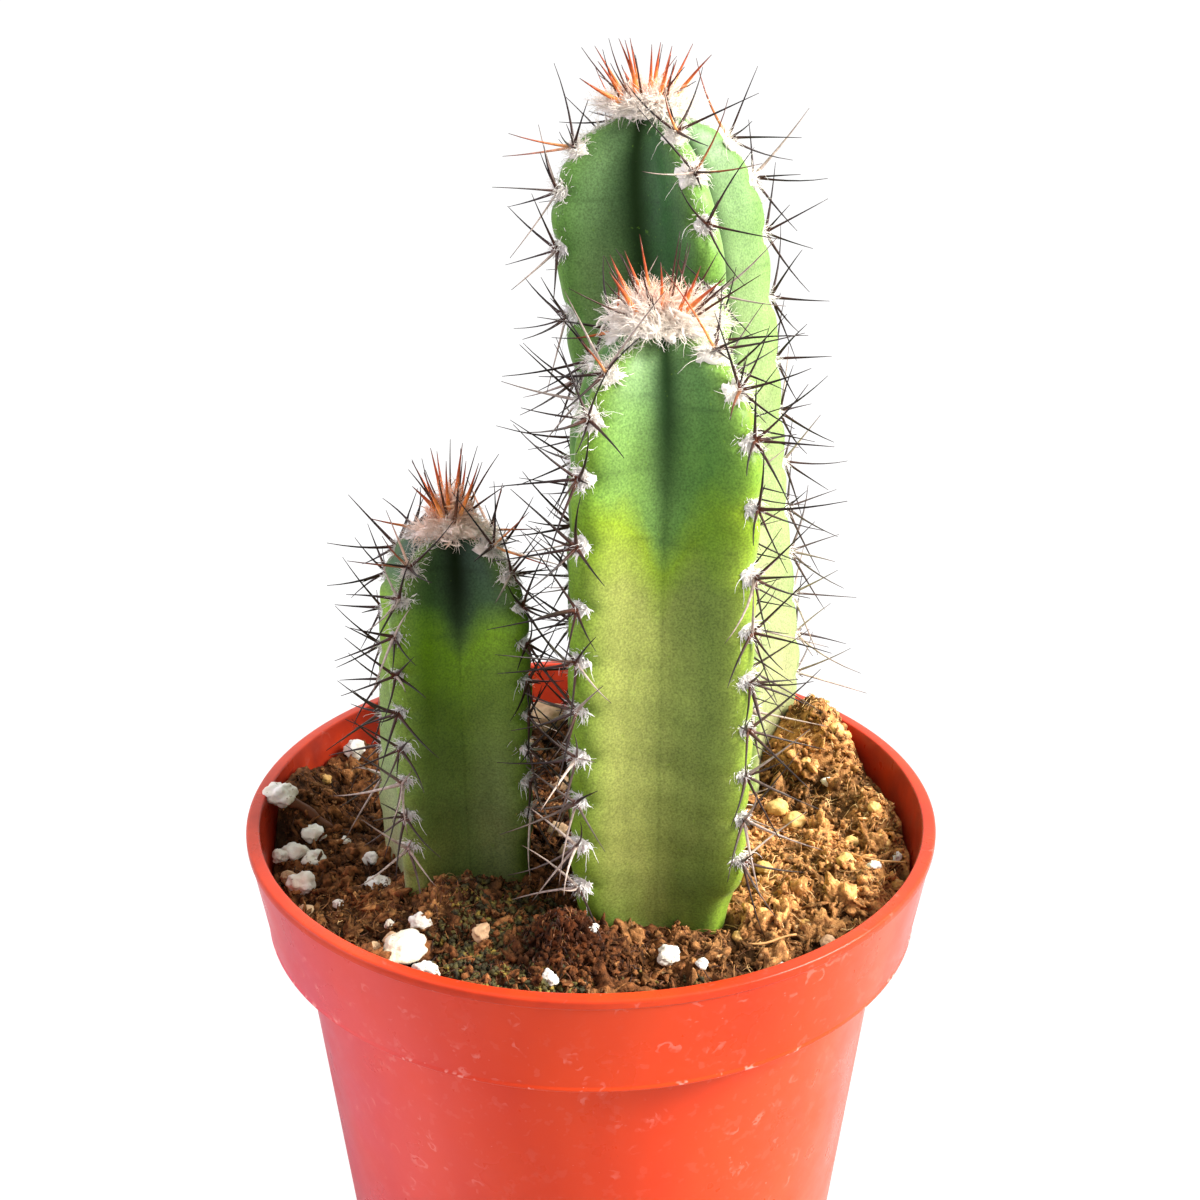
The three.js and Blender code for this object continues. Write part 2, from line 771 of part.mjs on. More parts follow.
const cactus = new THREE.Group();
cactus.add(named("pot", makePot(), colours.pot, 0.35));
cactus.add(named("soil", makeSoil(), colours.soil, 0.95));
cactus.add(named("tall_stem", makeStem(stems.tall, areoles), colours.tallStem, 0.55));
cactus.add(named("front_stem", makeStem(stems.front, areoles), colours.frontStem, 0.55));
cactus.add(named("small_stem", makeStem(stems.small, areoles), colours.smallStem, 0.55));
cactus.add(named("tall_crown", makeCrown(stems.tall, crowns.tall), colours.crown, 0.8));
cactus.add(named("front_crown", makeCrown(stems.front, crowns.front), colours.crown, 0.8));
cactus.add(named("small_crown", makeCrown(stems.small, crowns.small), colours.crown, 0.8));

export default cactus;
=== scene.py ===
# A potted columnar cactus: three ribbed stems with woolly areoles in a glossy nursery pot.
# The plant's own sizes are in millimetres and turn into metres when a mesh is made.
import math
import bmesh
import bpy
import numpy as np
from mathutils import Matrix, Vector, noise


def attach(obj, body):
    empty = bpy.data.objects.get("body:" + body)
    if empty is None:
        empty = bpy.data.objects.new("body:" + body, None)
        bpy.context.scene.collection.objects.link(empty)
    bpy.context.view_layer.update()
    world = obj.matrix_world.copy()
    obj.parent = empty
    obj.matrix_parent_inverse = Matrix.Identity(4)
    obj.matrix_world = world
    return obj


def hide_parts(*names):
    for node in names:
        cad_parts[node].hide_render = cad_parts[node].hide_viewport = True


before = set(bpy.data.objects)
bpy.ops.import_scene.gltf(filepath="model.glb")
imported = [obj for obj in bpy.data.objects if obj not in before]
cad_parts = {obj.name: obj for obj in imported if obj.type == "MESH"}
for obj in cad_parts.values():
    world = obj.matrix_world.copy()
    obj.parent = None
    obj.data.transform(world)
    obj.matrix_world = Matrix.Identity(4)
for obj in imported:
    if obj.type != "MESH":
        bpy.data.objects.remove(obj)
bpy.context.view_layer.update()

mm = 0.001
print("frame loaded:", ", ".join(sorted(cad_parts)))


# camera and lights

shot = {
    "place": (1.55, -259.9, 248.9),
    "pitch": 22.19,  # degrees below level
    "lens": 50.0,
}

lamps = {
    "keyLamp": {
        "place": (930, -190, 800), "aim": (0, 0, 110), "size": 480, "power": 44.0, "tint": (1, 0.97, 0.92),
    },
    "fillLamp": {
        "place": (-700, -120, 260), "aim": (0, 0, 100), "size": 600, "power": 3.0, "tint": (0.84, 0.76, 1),
    },
}

room = {
    "tint": (1.0, 1.0, 1.0),
    "front": 0.72,  # light from behind the camera
    "back": 1.5,
    "reach": (-0.7, 0.9),  # where the light's change from front to back begins and ends
    "floorTint": (0.36, 0.36, 0.37),
    "floorWidth": 14.0,
    "paper": 0.86,  # how far the camera sees the floor as lit white paper
    "paperGlow": 1.16,
}


def placeCamera():
    data = bpy.data.cameras.new("plantCamera")
    data.lens = shot["lens"]
    data.sensor_width = 36
    camera = bpy.data.objects.new("plantCamera", data)
    camera.location = Vector(shot["place"]) * mm
    camera.rotation_euler = (math.radians(90 - shot["pitch"]), 0, 0)
    bpy.context.collection.objects.link(camera)
    bpy.context.scene.camera = camera


def placeLamps():
    for name, lamp in lamps.items():
        data = bpy.data.lights.new(name, "AREA")
        data.size = lamp["size"] * mm
        data.energy = lamp["power"]
        data.color = lamp["tint"]
        holder = bpy.data.objects.new(name, data)
        holder.location = Vector(lamp["place"]) * mm
        aim = Vector(lamp["aim"]) * mm - holder.location
        holder.rotation_euler = aim.to_track_quat("-Z", "Y").to_euler()
        bpy.context.collection.objects.link(holder)


# brighter behind the plant than in front of it, and plain white where the camera sees past the floor
def lightRoom():
    world = bpy.data.worlds.new("paleRoom")
    world.use_nodes = True
    tree = world.node_tree
    sky = tree.nodes["Background"]
    sky.inputs["Color"].default_value = (*room["tint"], 1)
    direction = add(tree, "ShaderNodeTexCoord").outputs["Generated"]
    depth = add(tree, "ShaderNodeSeparateXYZ", {0: direction}).outputs["Y"]
    start, end = room["reach"]
    values = {0: depth, 1: start, 2: end, 3: room["front"], 4: room["back"]}
    level = add(tree, "ShaderNodeMapRange", values).outputs[0]
    seen = add(tree, "ShaderNodeLightPath").outputs["Is Camera Ray"]
    tree.links.new(maths(tree, "MAXIMUM", level, seen), sky.inputs["Strength"])
    bpy.context.scene.world = world
    bpy.context.scene.view_settings.view_transform = "Standard"


# small tools

def chance(number):
    wave = np.sin(number * 12.9898 + 78.233) * 43758.5453
    return wave - np.floor(wave)


def mix(low, high, share):
    return low + (high - low) * share


def between(low, high, number):
    return mix(low, high, chance(number))


def ease(share):
    share = np.clip(share, 0, 1)
    return share * share * (3 - 2 * share)


def unit(vectors):
    return vectors / np.linalg.norm(vectors, axis=-1, keepdims=True)


# shades are numbers at each point, which the materials read
def makeMesh(name, points, faces, shades=None):
    mesh = bpy.data.meshes.new(name)
    counts = np.concatenate([np.full(len(part), part.shape[1]) for part in faces])
    corners = np.concatenate([part.ravel() for part in faces])
    mesh.vertices.add(len(points))
    mesh.vertices.foreach_set("co", (np.asarray(points) * mm).ravel())
    mesh.loops.add(len(corners))
    mesh.loops.foreach_set("vertex_index", corners)
    mesh.polygons.add(len(counts))
    mesh.polygons.foreach_set("loop_start", np.concatenate([[0], np.cumsum(counts)[:-1]]))
    mesh.polygons.foreach_set("use_smooth", np.ones(len(counts), bool))
    mesh.update(calc_edges=True)
    for label, values in (shades or {}).items():
        layer = mesh.attributes.new(label, "FLOAT", "POINT")
        layer.data.foreach_set("value", np.asarray(values, dtype=float))
    mesh.validate()
    return mesh


# a shape is its points and its faces; the piece stands in for a node of the frame
def makePiece(name, shape, material, node, shades=None):
    mesh = makeMesh(name, *shape, shades)
    mesh.materials.append(material)
    piece = bpy.data.objects.new(name, mesh)
    bpy.context.collection.objects.link(piece)
    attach(piece, "root")
    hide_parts(node)
    return piece


# faces between rings of equal count, first ring to last, with a fan to one point at each end
def ringFaces(rows, columns):
    row = np.arange(rows - 1)[:, None] * columns
    column = np.arange(columns)[None, :]
    after = (column + 1) % columns
    quads = np.stack([row + column, row + after, row + columns + after, row + columns + column], -1)
    low = rows * columns
    high = low + 1
    lastRow = (rows - 1) * columns
    ring = np.arange(columns)
    after = (ring + 1) % columns
    lowFan = np.stack([np.full(columns, low), after, ring], -1)
    highFan = np.stack([np.full(columns, high), lastRow + ring, lastRow + after], -1)
    return [quads.reshape(-1, 4), lowFan, highFan]


# closed tubes along many paths at once: paths is (tube, point, 3), radii is (tube, point)
def tubeMesh(paths, radii, sides):
    count, steps = paths.shape[:2]
    along = unit(np.gradient(paths, axis=1))
    helper = np.where(np.abs(along[:, :1, 2:]) < 0.8, [[[0.0, 0.0, 1.0]]], [[[1.0, 0.0, 0.0]]])
    across = unit(np.cross(along, helper))
    third = np.cross(along, across)
    angle = np.arange(sides) * 2 * math.pi / sides
    ring = across[:, :, None] * np.cos(angle)[None, None, :, None]
    ring = ring + third[:, :, None] * np.sin(angle)[None, None, :, None]
    points = (paths[:, :, None] + ring * radii[:, :, None, None]).reshape(-1, 3)
    tube = np.arange(count)[:, None, None] * steps * sides
    row = np.arange(steps - 1)[None, :, None] * sides
    column = np.arange(sides)[None, None, :]
    after = (column + 1) % sides
    quads = np.stack([
        tube + row + column, tube + row + after, tube + row + sides + after, tube + row + sides + column,
    ], -1).reshape(-1, 4)
    starts = np.arange(count)[:, None] * steps * sides
    lowEnds = starts + np.arange(sides)[None, ::-1]
    highEnds = starts + (steps - 1) * sides + np.arange(sides)[None, :]
    return points, [quads, lowEnds, highEnds]


def joinMeshes(parts):
    points = []
    faces = []
    total = 0
    for partPoints, partFaces in parts:
        points.append(partPoints)
        faces.extend(part + total for part in partFaces)
        total += len(partPoints)
    return np.concatenate(points), faces


# shader tools

def add(tree, kind, inputs=None, **settings):
    made = tree.nodes.new(kind)
    for key, value in settings.items():
        setattr(made, key, value)
    for key, value in (inputs or {}).items():
        if isinstance(value, bpy.types.NodeSocket):
            tree.links.new(value, made.inputs[key])
        else:
            made.inputs[key].default_value = value
    return made


def startGroup(name, sockets, results):
    tree = bpy.data.node_groups.new(name, "ShaderNodeTree")
    for label, value in sockets.items():
        socket = tree.interface.new_socket(name=label, in_out="INPUT", socket_type="NodeSocketFloat")
        socket.default_value = value
    for label in results:
        tree.interface.new_socket(name=label, in_out="OUTPUT", socket_type="NodeSocketFloat")
    return tree, tree.nodes.new("NodeGroupInput"), tree.nodes.new("NodeGroupOutput")


def maths(tree, operation, first, second):
    return add(tree, "ShaderNodeMath", {0: first, 1: second}, operation=operation).outputs[0]


def times(tree, first, second):
    return maths(tree, "MULTIPLY", first, second)


def blend(tree, share, low, high, mode="MIX"):
    made = add(tree, "ShaderNodeMix", data_type="RGBA", blend_type=mode)
    for socket, value in ((made.inputs[0], share), (made.inputs[6], low), (made.inputs[7], high)):
        if isinstance(value, bpy.types.NodeSocket):
            tree.links.new(value, socket)
        else:
            socket.default_value = value if isinstance(value, float) else (*value, 1)
    return made.outputs[2]


def ramp(tree, share, stops):
    made = add(tree, "ShaderNodeValToRGB", {"Fac": share})
    bar = made.color_ramp
    while len(bar.elements) < len(stops):
        bar.elements.new(0.5)
    for element, (place, colour) in zip(bar.elements, stops):
        element.position = place
        element.color = (*colour, 1)
    return made.outputs["Color"]


def shade(tree, label):
    return add(tree, "ShaderNodeAttribute", attribute_name=label).outputs["Fac"]


# spots: small marks thinly scattered over a surface, 0 between them and 1 on them
def buildSpots():
    tree, start, end = startGroup("scatteredSpots", {"Size": 1.0, "Cover": 0.3, "Softness": 0.05}, ["Mask"])
    coordinates = add(tree, "ShaderNodeTexCoord").outputs["Object"]
    scale = maths(tree, "DIVIDE", 1000.0, start.outputs["Size"])
    cloud = add(tree, "ShaderNodeTexNoise", {"Vector": coordinates, "Scale": scale, "Detail": 2.0})
    low = maths(tree, "SUBTRACT", 1.0, start.outputs["Cover"])
    high = maths(tree, "ADD", low, start.outputs["Softness"])
    edges = {0: cloud.outputs["Fac"], 1: low, 2: high}
    mask = add(tree, "ShaderNodeMapRange", edges, interpolation_type="SMOOTHSTEP")
    tree.links.new(mask.outputs[0], end.inputs["Mask"])
    return tree


# grain: uneven noise about a middle of 0.5, for tone, roughness and relief
def buildGrain():
    tree, start, end = startGroup("fineGrain", {"Size": 1.0, "Detail": 4.0, "Stretch": 1.0}, ["Value"])
    coordinates = add(tree, "ShaderNodeTexCoord").outputs["Object"]
    stretch = add(tree, "ShaderNodeCombineXYZ", {0: 1.0, 1: 1.0, 2: start.outputs["Stretch"]}).outputs[0]
    stretched = add(tree, "ShaderNodeVectorMath", {0: coordinates, 1: stretch}, operation="MULTIPLY")
    placed = stretched.outputs[0]
    scale = maths(tree, "DIVIDE", 1000.0, start.outputs["Size"])
    values = {"Vector": placed, "Scale": scale, "Detail": start.outputs["Detail"]}
    cloud = add(tree, "ShaderNodeTexNoise", values)
    tree.links.new(cloud.outputs["Fac"], end.inputs["Value"])
    return tree


spotsGroup = buildSpots()
grainGroup = buildGrain()


def useGroup(tree, group, values):
    return add(tree, "ShaderNodeGroup", values, node_tree=group).outputs[0]


def spots(tree, size, cover, softness=0.05):
    return useGroup(tree, spotsGroup, {"Size": size, "Cover": cover, "Softness": softness})


def grain(tree, size, detail=4.0, stretch=1.0):
    return useGroup(tree, grainGroup, {"Size": size, "Detail": detail, "Stretch": stretch})


def newMaterial(name, roughness, specular, others=None):
    material = bpy.data.materials.new(name)
    material.use_nodes = True
    shader = material.node_tree.nodes["Principled BSDF"]
    values = {"Roughness": roughness, "Specular IOR Level": specular, **(others or {})}
    for label, value in values.items():
        shader.inputs[label].default_value = value
    return material, material.node_tree, shader


def wire(tree, shader, colour=None, roughness=None, height=None, relief=0.1, strength=1.0):
    if colour is not None:
        tree.links.new(colour, shader.inputs["Base Color"])
    if roughness is not None:
        tree.links.new(roughness, shader.inputs["Roughness"])
    if height is not None:
        values = {"Height": height, "Distance": relief * mm, "Strength": strength}
        tree.links.new(add(tree, "ShaderNodeBump", values).outputs[0], shader.inputs["Normal"])


# grain drawn out to lie between two levels
def patchy(tree, low, high, size, detail=4.0, stretch=1.0):
    values = {0: grain(tree, size, detail, stretch), 1: 0.3, 2: 0.7, 3: low, 4: high}
    return add(tree, "ShaderNodeMapRange", values).outputs[0]


# a tone laid over a colour where the mask is, at a share of its full strength
def mark(tree, colour, mask, share, tone):
    return blend(tree, times(tree, mask, share), colour, tone)


def dim(tree, colour, light):
    tint = add(tree, "ShaderNodeCombineColor", {0: light, 1: light, 2: light}).outputs[0]
    return blend(tree, 1.0, colour, tint, "MULTIPLY")


placeCamera()
placeLamps()
lightRoom()
print("camera and lamps placed")


# the pot

potSize = {
    "rim": 60.0,  # outside radius over the lip
    "height": 105.0,
    "lipWidth": 2.3,
    "lipHeight": 1.4,
    "lipProud": 0.3,
    "collarHeight": 18.25,
    "collarFoot": 57.15,
    "bodyTop": 52.15,
    "bodyFoot": 43.3,
    "wall": 1.5,
    "floor": 2.2,
    "chamfer": 1.4,
    "drainRadius": 3.5,
    "drainCircle": 28.0,
    "drains": 4,
    "drainSides": 48,
    "sides": 288,
}

collarFoot = potSize["height"] - potSize["collarHeight"]
ledge = collarFoot + potSize["wall"]


def bodyInner(height):
    share = (height - potSize["chamfer"]) / (collarFoot - potSize["chamfer"])
    return mix(potSize["bodyFoot"], potSize["bodyTop"], share) - potSize["wall"]


def collarInner(height):
    share = (height - ledge) / (potSize["height"] - ledge)
    return mix(potSize["collarFoot"] - potSize["wall"], potSize["rim"] - potSize["lipWidth"], share)


# replaces a profile's corner by an arc of that radius
def roundCorner(before, corner, after, radius, steps=5):
    before, corner, after = (np.array(point, dtype=float) for point in (before, corner, after))
    start = corner + unit(before - corner) * radius
    end = corner + unit(after - corner) * radius
    shares = np.linspace(0, 1, steps)[:, None]
    return list((1 - shares) ** 2 * start + 2 * shares * (1 - shares) * corner + shares ** 2 * end)


def potProfile():
    size = potSize
    lipFoot = size["height"] - size["lipHeight"]
    bead = 0.22  # the thin ridge along the collar's foot
    corners = [
        (size["bodyFoot"] - size["chamfer"], 0, 0.3),
        (size["bodyFoot"], size["chamfer"], 0.6),
        (size["bodyTop"], collarFoot, 0.3),
        (size["collarFoot"] + bead - 0.2, collarFoot, 0.12),
        (size["collarFoot"] + bead, collarFoot + 0.25, 0.12),
        (size["collarFoot"] + bead, collarFoot + 0.55, 0.12),
        (size["collarFoot"] + 0.1, collarFoot + 0.9, 0.15),
        (size["rim"] - size["lipProud"], lipFoot - 0.25, 0.12),
        (size["rim"], lipFoot, 0.15),
        (size["rim"], size["height"], 0.55),
        (size["rim"] - size["lipWidth"], size["height"], 0.45),
        (collarInner(ledge), ledge, 0.5),
        (bodyInner(ledge), ledge, 0.6),
        (bodyInner(size["floor"]), size["floor"], 1.2),
    ]
    places = [(0, 0), *[corner[:2] for corner in corners], (0, size["floor"])]
    profile = []
    for index, (radius, height, arc) in enumerate(corners):
        profile.extend(roundCorner(places[index], (radius, height), places[index + 2], arc))
    return profile


# dried splashes: broken rings of a bent cell pattern
waterMarks = {"bendScale": 330.0, "bend": 0.0042, "cells": 270.0, "ring": 0.37, "width": 0.065, "left": 0.45}


def splashMask(tree):
    coordinates = add(tree, "ShaderNodeTexCoord").outputs["Object"]
    warping = {"Vector": coordinates, "Scale": waterMarks["bendScale"], "Detail": 3.0}
    warp = add(tree, "ShaderNodeTexNoise", warping).outputs["Color"]
    bending = {"Fac": waterMarks["bend"], "Color1": coordinates, "Color2": warp}
    bent = add(tree, "ShaderNodeMixRGB", bending, blend_type="ADD").outputs[0]
    cells = add(tree, "ShaderNodeTexVoronoi", {"Vector": bent, "Scale": waterMarks["cells"]})
    rim = {0: cells.outputs["Distance"], 1: waterMarks["ring"], 2: waterMarks["width"]}
    ring = add(tree, "ShaderNodeMath", rim, operation="COMPARE").outputs[0]
    drawn = add(tree, "ShaderNodeSeparateColor", {"Color": cells.outputs["Color"]}).outputs[0]
    chosen = times(tree, ring, maths(tree, "GREATER_THAN", drawn, waterMarks["left"]))
    broken = times(tree, chosen, spots(tree, 2.6, 0.5, 0.16))
    return times(tree, broken, spots(tree, 24.0, 0.62, 0.2))


def potMaterial():
    look = {
        "plastic": (0.62, 0.034, 0.004),
        "faded": (0.76, 0.062, 0.01),
        "residue": (0.9, 0.4, 0.34),
        "film": (0.45, 0.25, 0.52),
        "darkerRed": (0.26, 0.022, 0.012),
        "dirt": (0.09, 0.02, 0.014),
    }
    coat = {"Coat Weight": 0.08, "Coat Roughness": 0.12}
    material, tree, shader = newMaterial("terracottaPlastic", 0.3, 0.15, coat)
    colour = blend(tree, patchy(tree, 0.0, 1.0, 26.0, 3.0, 0.35), look["plastic"], look["faded"])
    splashed = splashMask(tree)
    films = times(tree, spots(tree, 5.0, 0.4, 0.12), spots(tree, 30.0, 0.5, 0.2))
    nicks = times(tree, shade(tree, "bead"), spots(tree, 2.2, 0.4, 0.05))
    for mask, share, tone in (
        # painted sheen: a lilac haze standing in for reflected light
        (shade(tree, "film"), patchy(tree, 0.19, 0.27, 12.0), "film"),
        (films, 0.07, "residue"),
        (splashed, 0.24, "residue"),
        (spots(tree, 0.8, 0.222, 0.02), 0.5, "residue"),
        (nicks, 0.6, "residue"),
        (spots(tree, 0.7, 0.215, 0.015), 0.6, "dirt"),
        # painted shade: the inside wall is darkened where shade falls in the pot
        (shade(tree, "inside"), patchy(tree, 0.55, 1.0, 7.0), "darkerRed"),
        # the lip and the outer wall just under it darker
        (shade(tree, "lip"), patchy(tree, 0.3, 0.6, 5.0), "darkerRed"),
    ):
        colour = mark(tree, colour, mask, share, look[tone])
    dull = times(tree, maths(tree, "MAXIMUM", films, splashed), 0.2)
    rough = maths(tree, "ADD", patchy(tree, 0.24, 0.4, 9.0, 5.0), dull)
    wire(tree, shader, colour, rough, grain(tree, 1.6, 3.0), 0.05, 0.3)
    return material


def makePot():
    profile = np.array(potProfile())
    angle = np.arange(potSize["sides"]) * 2 * math.pi / potSize["sides"]
    radius = profile[:, :1]
    height = np.repeat(profile[:, 1:], len(angle), axis=1)
    rings = np.stack([radius * np.cos(angle), radius * np.sin(angle), height], -1)
    ends = np.array([(0, 0, 0), (0, 0, potSize["floor"])])
    points = np.concatenate([rings.reshape(-1, 3), ends])
    faces = ringFaces(len(profile), len(angle))
    mouth = potSize["rim"] - potSize["lipWidth"]
    depth = np.arange(len(profile)) > np.argmax(profile[:, 1] >= potSize["height"] - 0.01)
    inside = (depth[:, None] & (radius < mouth + 0.1)) * np.ones(len(angle))
    outside = 1 - np.append(inside.ravel(), [0, 1])
    lip = ease((points[:, 2] - potSize["height"] + 2.2) / 1.6) * outside
    # painted sheen: strongest on the left side, weaker on the far right
    film = ease((-6 - points[:, 0]) / 55) + 0.4 * ease((points[:, 0] - 34) / 26)  # left side and far right
    shades = {
        "inside": 1 - outside,
        "film": film * outside * (1 - lip),
        "lip": lip,
        "bead": np.exp(-((points[:, 2] - collarFoot - 0.4) / 0.45) ** 2) * outside,
    }
    return makePiece("nurseryPot", (points, faces), potMaterial(), "pot", shades)


# the drain holes are drilled through the floor, half way between the axes
def drillDrains(pot):
    angle = (np.arange(potSize["drains"]) + 0.5) * 2 * math.pi / potSize["drains"]
    place = np.stack([np.cos(angle), np.sin(angle)], -1) * potSize["drainCircle"]
    ends = [np.column_stack([place, 0 * angle + height]) for height in (-1, potSize["floor"] + 1)]
    radii = np.full((potSize["drains"], 2), potSize["drainRadius"])
    shape = tubeMesh(np.stack(ends, 1), radii, potSize["drainSides"])
    drills = bpy.data.objects.new("drills", makeMesh("drills", *shape))
    bpy.context.collection.objects.link(drills)
    drilling = pot.modifiers.new("drilling", "BOOLEAN")
    drilling.operation = "DIFFERENCE"
    drilling.solver = "EXACT"
    drilling.object = drills
    graph = bpy.context.evaluated_depsgraph_get()
    drilled = bpy.data.meshes.new_from_object(
        pot.evaluated_get(graph), preserve_all_data_layers=True, depsgraph=graph,
    )
    pot.modifiers.clear()
    pot.data = drilled
    bpy.data.objects.remove(drills)


drillDrains(makePot())
print("pot turned")


# the stems, shaped by the same rules as the frame's solids

stems = {
    "tall": {
        "foot": (22.9, 29), "tip": (9.6, 31), "bow": 0.6, "ground": 99, "top": 218.9,
        "radius": 19.5, "reach": (0.99, 1, 1.02, 1), "domeHeight": 1.15,
        "footShare": 0.88, "footLength": 20, "turnFoot": -22.5, "turnTip": -22.5,
        "valleyFoot": 0.62, "valleyTip": 0.5,
        "firstAreole": 3.2, "pitches": (7.2, 9.6, 12.2), "spineScale": 1, "seed": 100,
    },
    "front": {
        "foot": (9.9, -17.5), "tip": (10.6, -18.5), "bow": -0.2, "ground": 93, "top": 193.6,
        "radius": 18.1, "reach": (1.01, 1.03, 1, 0.92), "domeHeight": 1.35,
        "footShare": 0.83, "footLength": 17, "turnFoot": 4.5, "turnTip": 4,
        "valleyFoot": 0.64, "valleyTip": 0.55,
        "firstAreole": 3, "pitches": (7.2, 8.3, 11.2), "spineScale": 1, "seed": 200,
    },
    "small": {
        "foot": (-23.6, -7), "tip": (-22.4, -7), "bow": -0.5, "ground": 95, "top": 158.2,
        "radius": 15, "reach": (0.99, 1, 1, 0.93), "domeHeight": 1.2,
        "footShare": 0.98, "footLength": 10, "turnFoot": 22, "turnTip": 11,
        "valleyFoot": 0.62, "valleyTip": 0.54,
        "firstAreole": 2.6, "pitches": (5.7, 6.3, 6.9), "spineScale": 0.8, "seed": 300,
    },
}

ribbing = {
    "ribs": 4,
    "visibleFoot": 86.0,  # the skin is modelled from here up
    "plainTop": 88.0,
    "plugFoot": 76.0,
    "plugShare": 0.4,
    "plugDepth": 5.0,
    "notch": 1.4,
    "shoulder": 0.35,
    "domePower": 2.3,
    "crestHalf": 5.5,
    "crestShare": 0.985,
    "flankAngle": 22.0,
    "flankBase": 0.25,
    "flankSlope": 0.8,
    "crestSlope": -0.0085,  # of the eased section, per degree
    "creaseSlope": -0.0042,
    "columns": 176,
    "rowHeight": 0.55,
}

ground = {
    "level": 96.0,
    "tilt": 0.016,
    "heaps": [  # x, y, height, spread along x and y
        (42, 30, 11, 8, 11), (24, 12, 3, 10, 8), (-5, -37, 7, 7, 5.5), (14, -44, -3, 14, 8),
        (-38, 22, -2, 16, 16), (40, -20, 2.5, 12, 16),
    ],
}


def groundHeight(x, y, heaps=ground["heaps"]):
    height = ground["level"] + ground["tilt"] * x
    for heapX, heapY, rise, spreadX, spreadY in heaps:
        away = ((x - heapX) / spreadX) ** 2 + ((y - heapY) / spreadY) ** 2
        height = height + rise * np.exp(-away)
    return height


def stemShare(stem, height):
    return (height - stem["ground"]) / (stem["top"] - stem["ground"])


def stemAxis(stem, height):
    share = np.maximum(0, stemShare(stem, height))
    bulge = 4 * share * (1 - share) * stem["bow"]
    x = mix(stem["foot"][0], stem["tip"][0], share) + bulge
    return x, mix(stem["foot"][1], stem["tip"][1], share)


def crestRadius(stem, height):
    dome = np.clip((stem["top"] - height) / (stem["domeHeight"] * stem["radius"]), 0, 1)
    cap = (1 - (1 - dome) ** ribbing["domePower"]) ** (1 / ribbing["domePower"])
    foot = mix(stem["footShare"], 1, ease((height - stem["ground"]) / stem["footLength"]))
    plugTop = stem["ground"] - ribbing["plugDepth"]
    buried = np.clip((height - ribbing["plugFoot"]) / (plugTop - ribbing["plugFoot"]), 0, 1)
    return stem["radius"] * foot * cap * mix(ribbing["plugShare"], 1, buried)


def ribAngle(stem, rib, height):
    share = np.clip(stemShare(stem, height), 0, 1)
    turn = mix(stem["turnFoot"], stem["turnTip"], share)
    return np.radians(turn + (rib - 0.5) * 360 / ribbing["ribs"])


# the section's corners: degrees from the nearest crest, and the radius there over the crest's
def sectionCorners(stem, height):
    valley = mix(stem["valleyFoot"], stem["valleyTip"], ease(stemShare(stem, height)))
    flank = ribbing["flankBase"] + ribbing["flankSlope"] * valley
    places = [0, ribbing["crestHalf"], ribbing["flankAngle"], 180 / ribbing["ribs"]]
    return places, [1, ribbing["crestShare"], flank, valley]


# the frame's own section, with flat faces between the corners
def sectionShare(stem, height, offset):
    away = np.abs(offset)
    places, levels = sectionCorners(stem, height)
    onCrest, onFlank, inValley = (
        mix(levels[index], levels[index + 1], (away - places[index]) / (places[index + 1] - places[index]))
        for index in range(3)
    )
    return np.where(away < places[1], onCrest, np.where(away < places[2], onFlank, inValley))


def stemRadius(stem, rib, offset, height, section=sectionShare):
    fading = 1 - np.abs(offset) / (180 / ribbing["ribs"])
    reach = mix(1, np.array(stem["reach"])[rib], fading)
    return crestRadius(stem, height) * section(stem, height, offset) * reach


def stemPoint(stem, rib, offset, height, grow):
    x, y = stemAxis(stem, height)
    angle = ribAngle(stem, rib, height) + np.radians(offset)
    radius = stemRadius(stem, rib, offset, height) + grow
    return np.array([x + radius * np.sin(angle), y - radius * np.cos(angle), height])


def areoleHeights(stem):
    low, middle, wide = stem["pitches"]
    heights = []
    height = stem["top"] - stem["firstAreole"]
    while height > ribbing["plainTop"] + low:
        heights.append(height)
        share = stemShare(stem, height)
        near = min(1, (stem["top"] - height) / (0.9 * stem["radius"]))
        steady = mix(low, middle, min(max(share / 0.6, 0), 1))
        stretch = (wide - middle) * math.exp(-((share - 0.8) / 0.11) ** 2)
        height -= (steady + stretch) * mix(0.45, 1, near)
    return np.array(heights)


def ribHeights(stem, rib):
    heights = areoleHeights(stem)
    return heights[:-1] if rib % 2 == 1 else (heights[:-1] + heights[1:]) / 2


# the same section with its corners eased: a rounded crest, hollow flanks, a crease in the valley
def smoothSection(stem, height, offset):
    away = np.abs(offset)
    places, levels = sectionCorners(stem, height)
    fall = (levels[3] - levels[1]) / (places[3] - places[1])
    crease = ribbing["creaseSlope"] * ease(stemShare(stem, height))
    slopes = [0, ribbing["crestSlope"], fall * 1.05, crease]
    result = np.zeros(np.broadcast(away, height).shape)
    for index in range(3):
        span = places[index + 1] - places[index]
        part = np.clip((away - places[index]) / span, 0, 1)
        square = part ** 2
        cube = part ** 3
        curve = (2 * cube - 3 * square + 1) * levels[index] + (3 * square - 2 * cube) * levels[index + 1]
        bending = (cube - 2 * square + part) * slopes[index] + (cube - square) * slopes[index + 1]
        inside = (away >= places[index]) & (away <= places[index + 1])
        result = np.where(inside, curve + bending * span, result)
    return result


# how far the crest stands in or out between areoles
def crenation(stem, rib, height):
    heights = ribHeights(stem, rib)
    place = np.interp(-height, -heights, np.arange(len(heights)))
    step = place - np.floor(place)
    above = height > heights[0]
    step = np.where(above, 1 - np.clip((height - heights[0]) / 4, 0, 1), step)
    dip = np.exp(-(step / 0.14) ** 2) + np.exp(-((1 - step) / 0.17) ** 2)
    swell = np.exp(-((step - 0.4) / 0.24) ** 2)
    variety = 0.7 + 0.6 * chance(stem["seed"] + rib * 7.7 + np.floor(place) * 3.3)
    below = ease((height - ribbing["plainTop"]) / 6)
    return (ribbing["shoulder"] * swell * variety - ribbing["notch"] * dip) * below
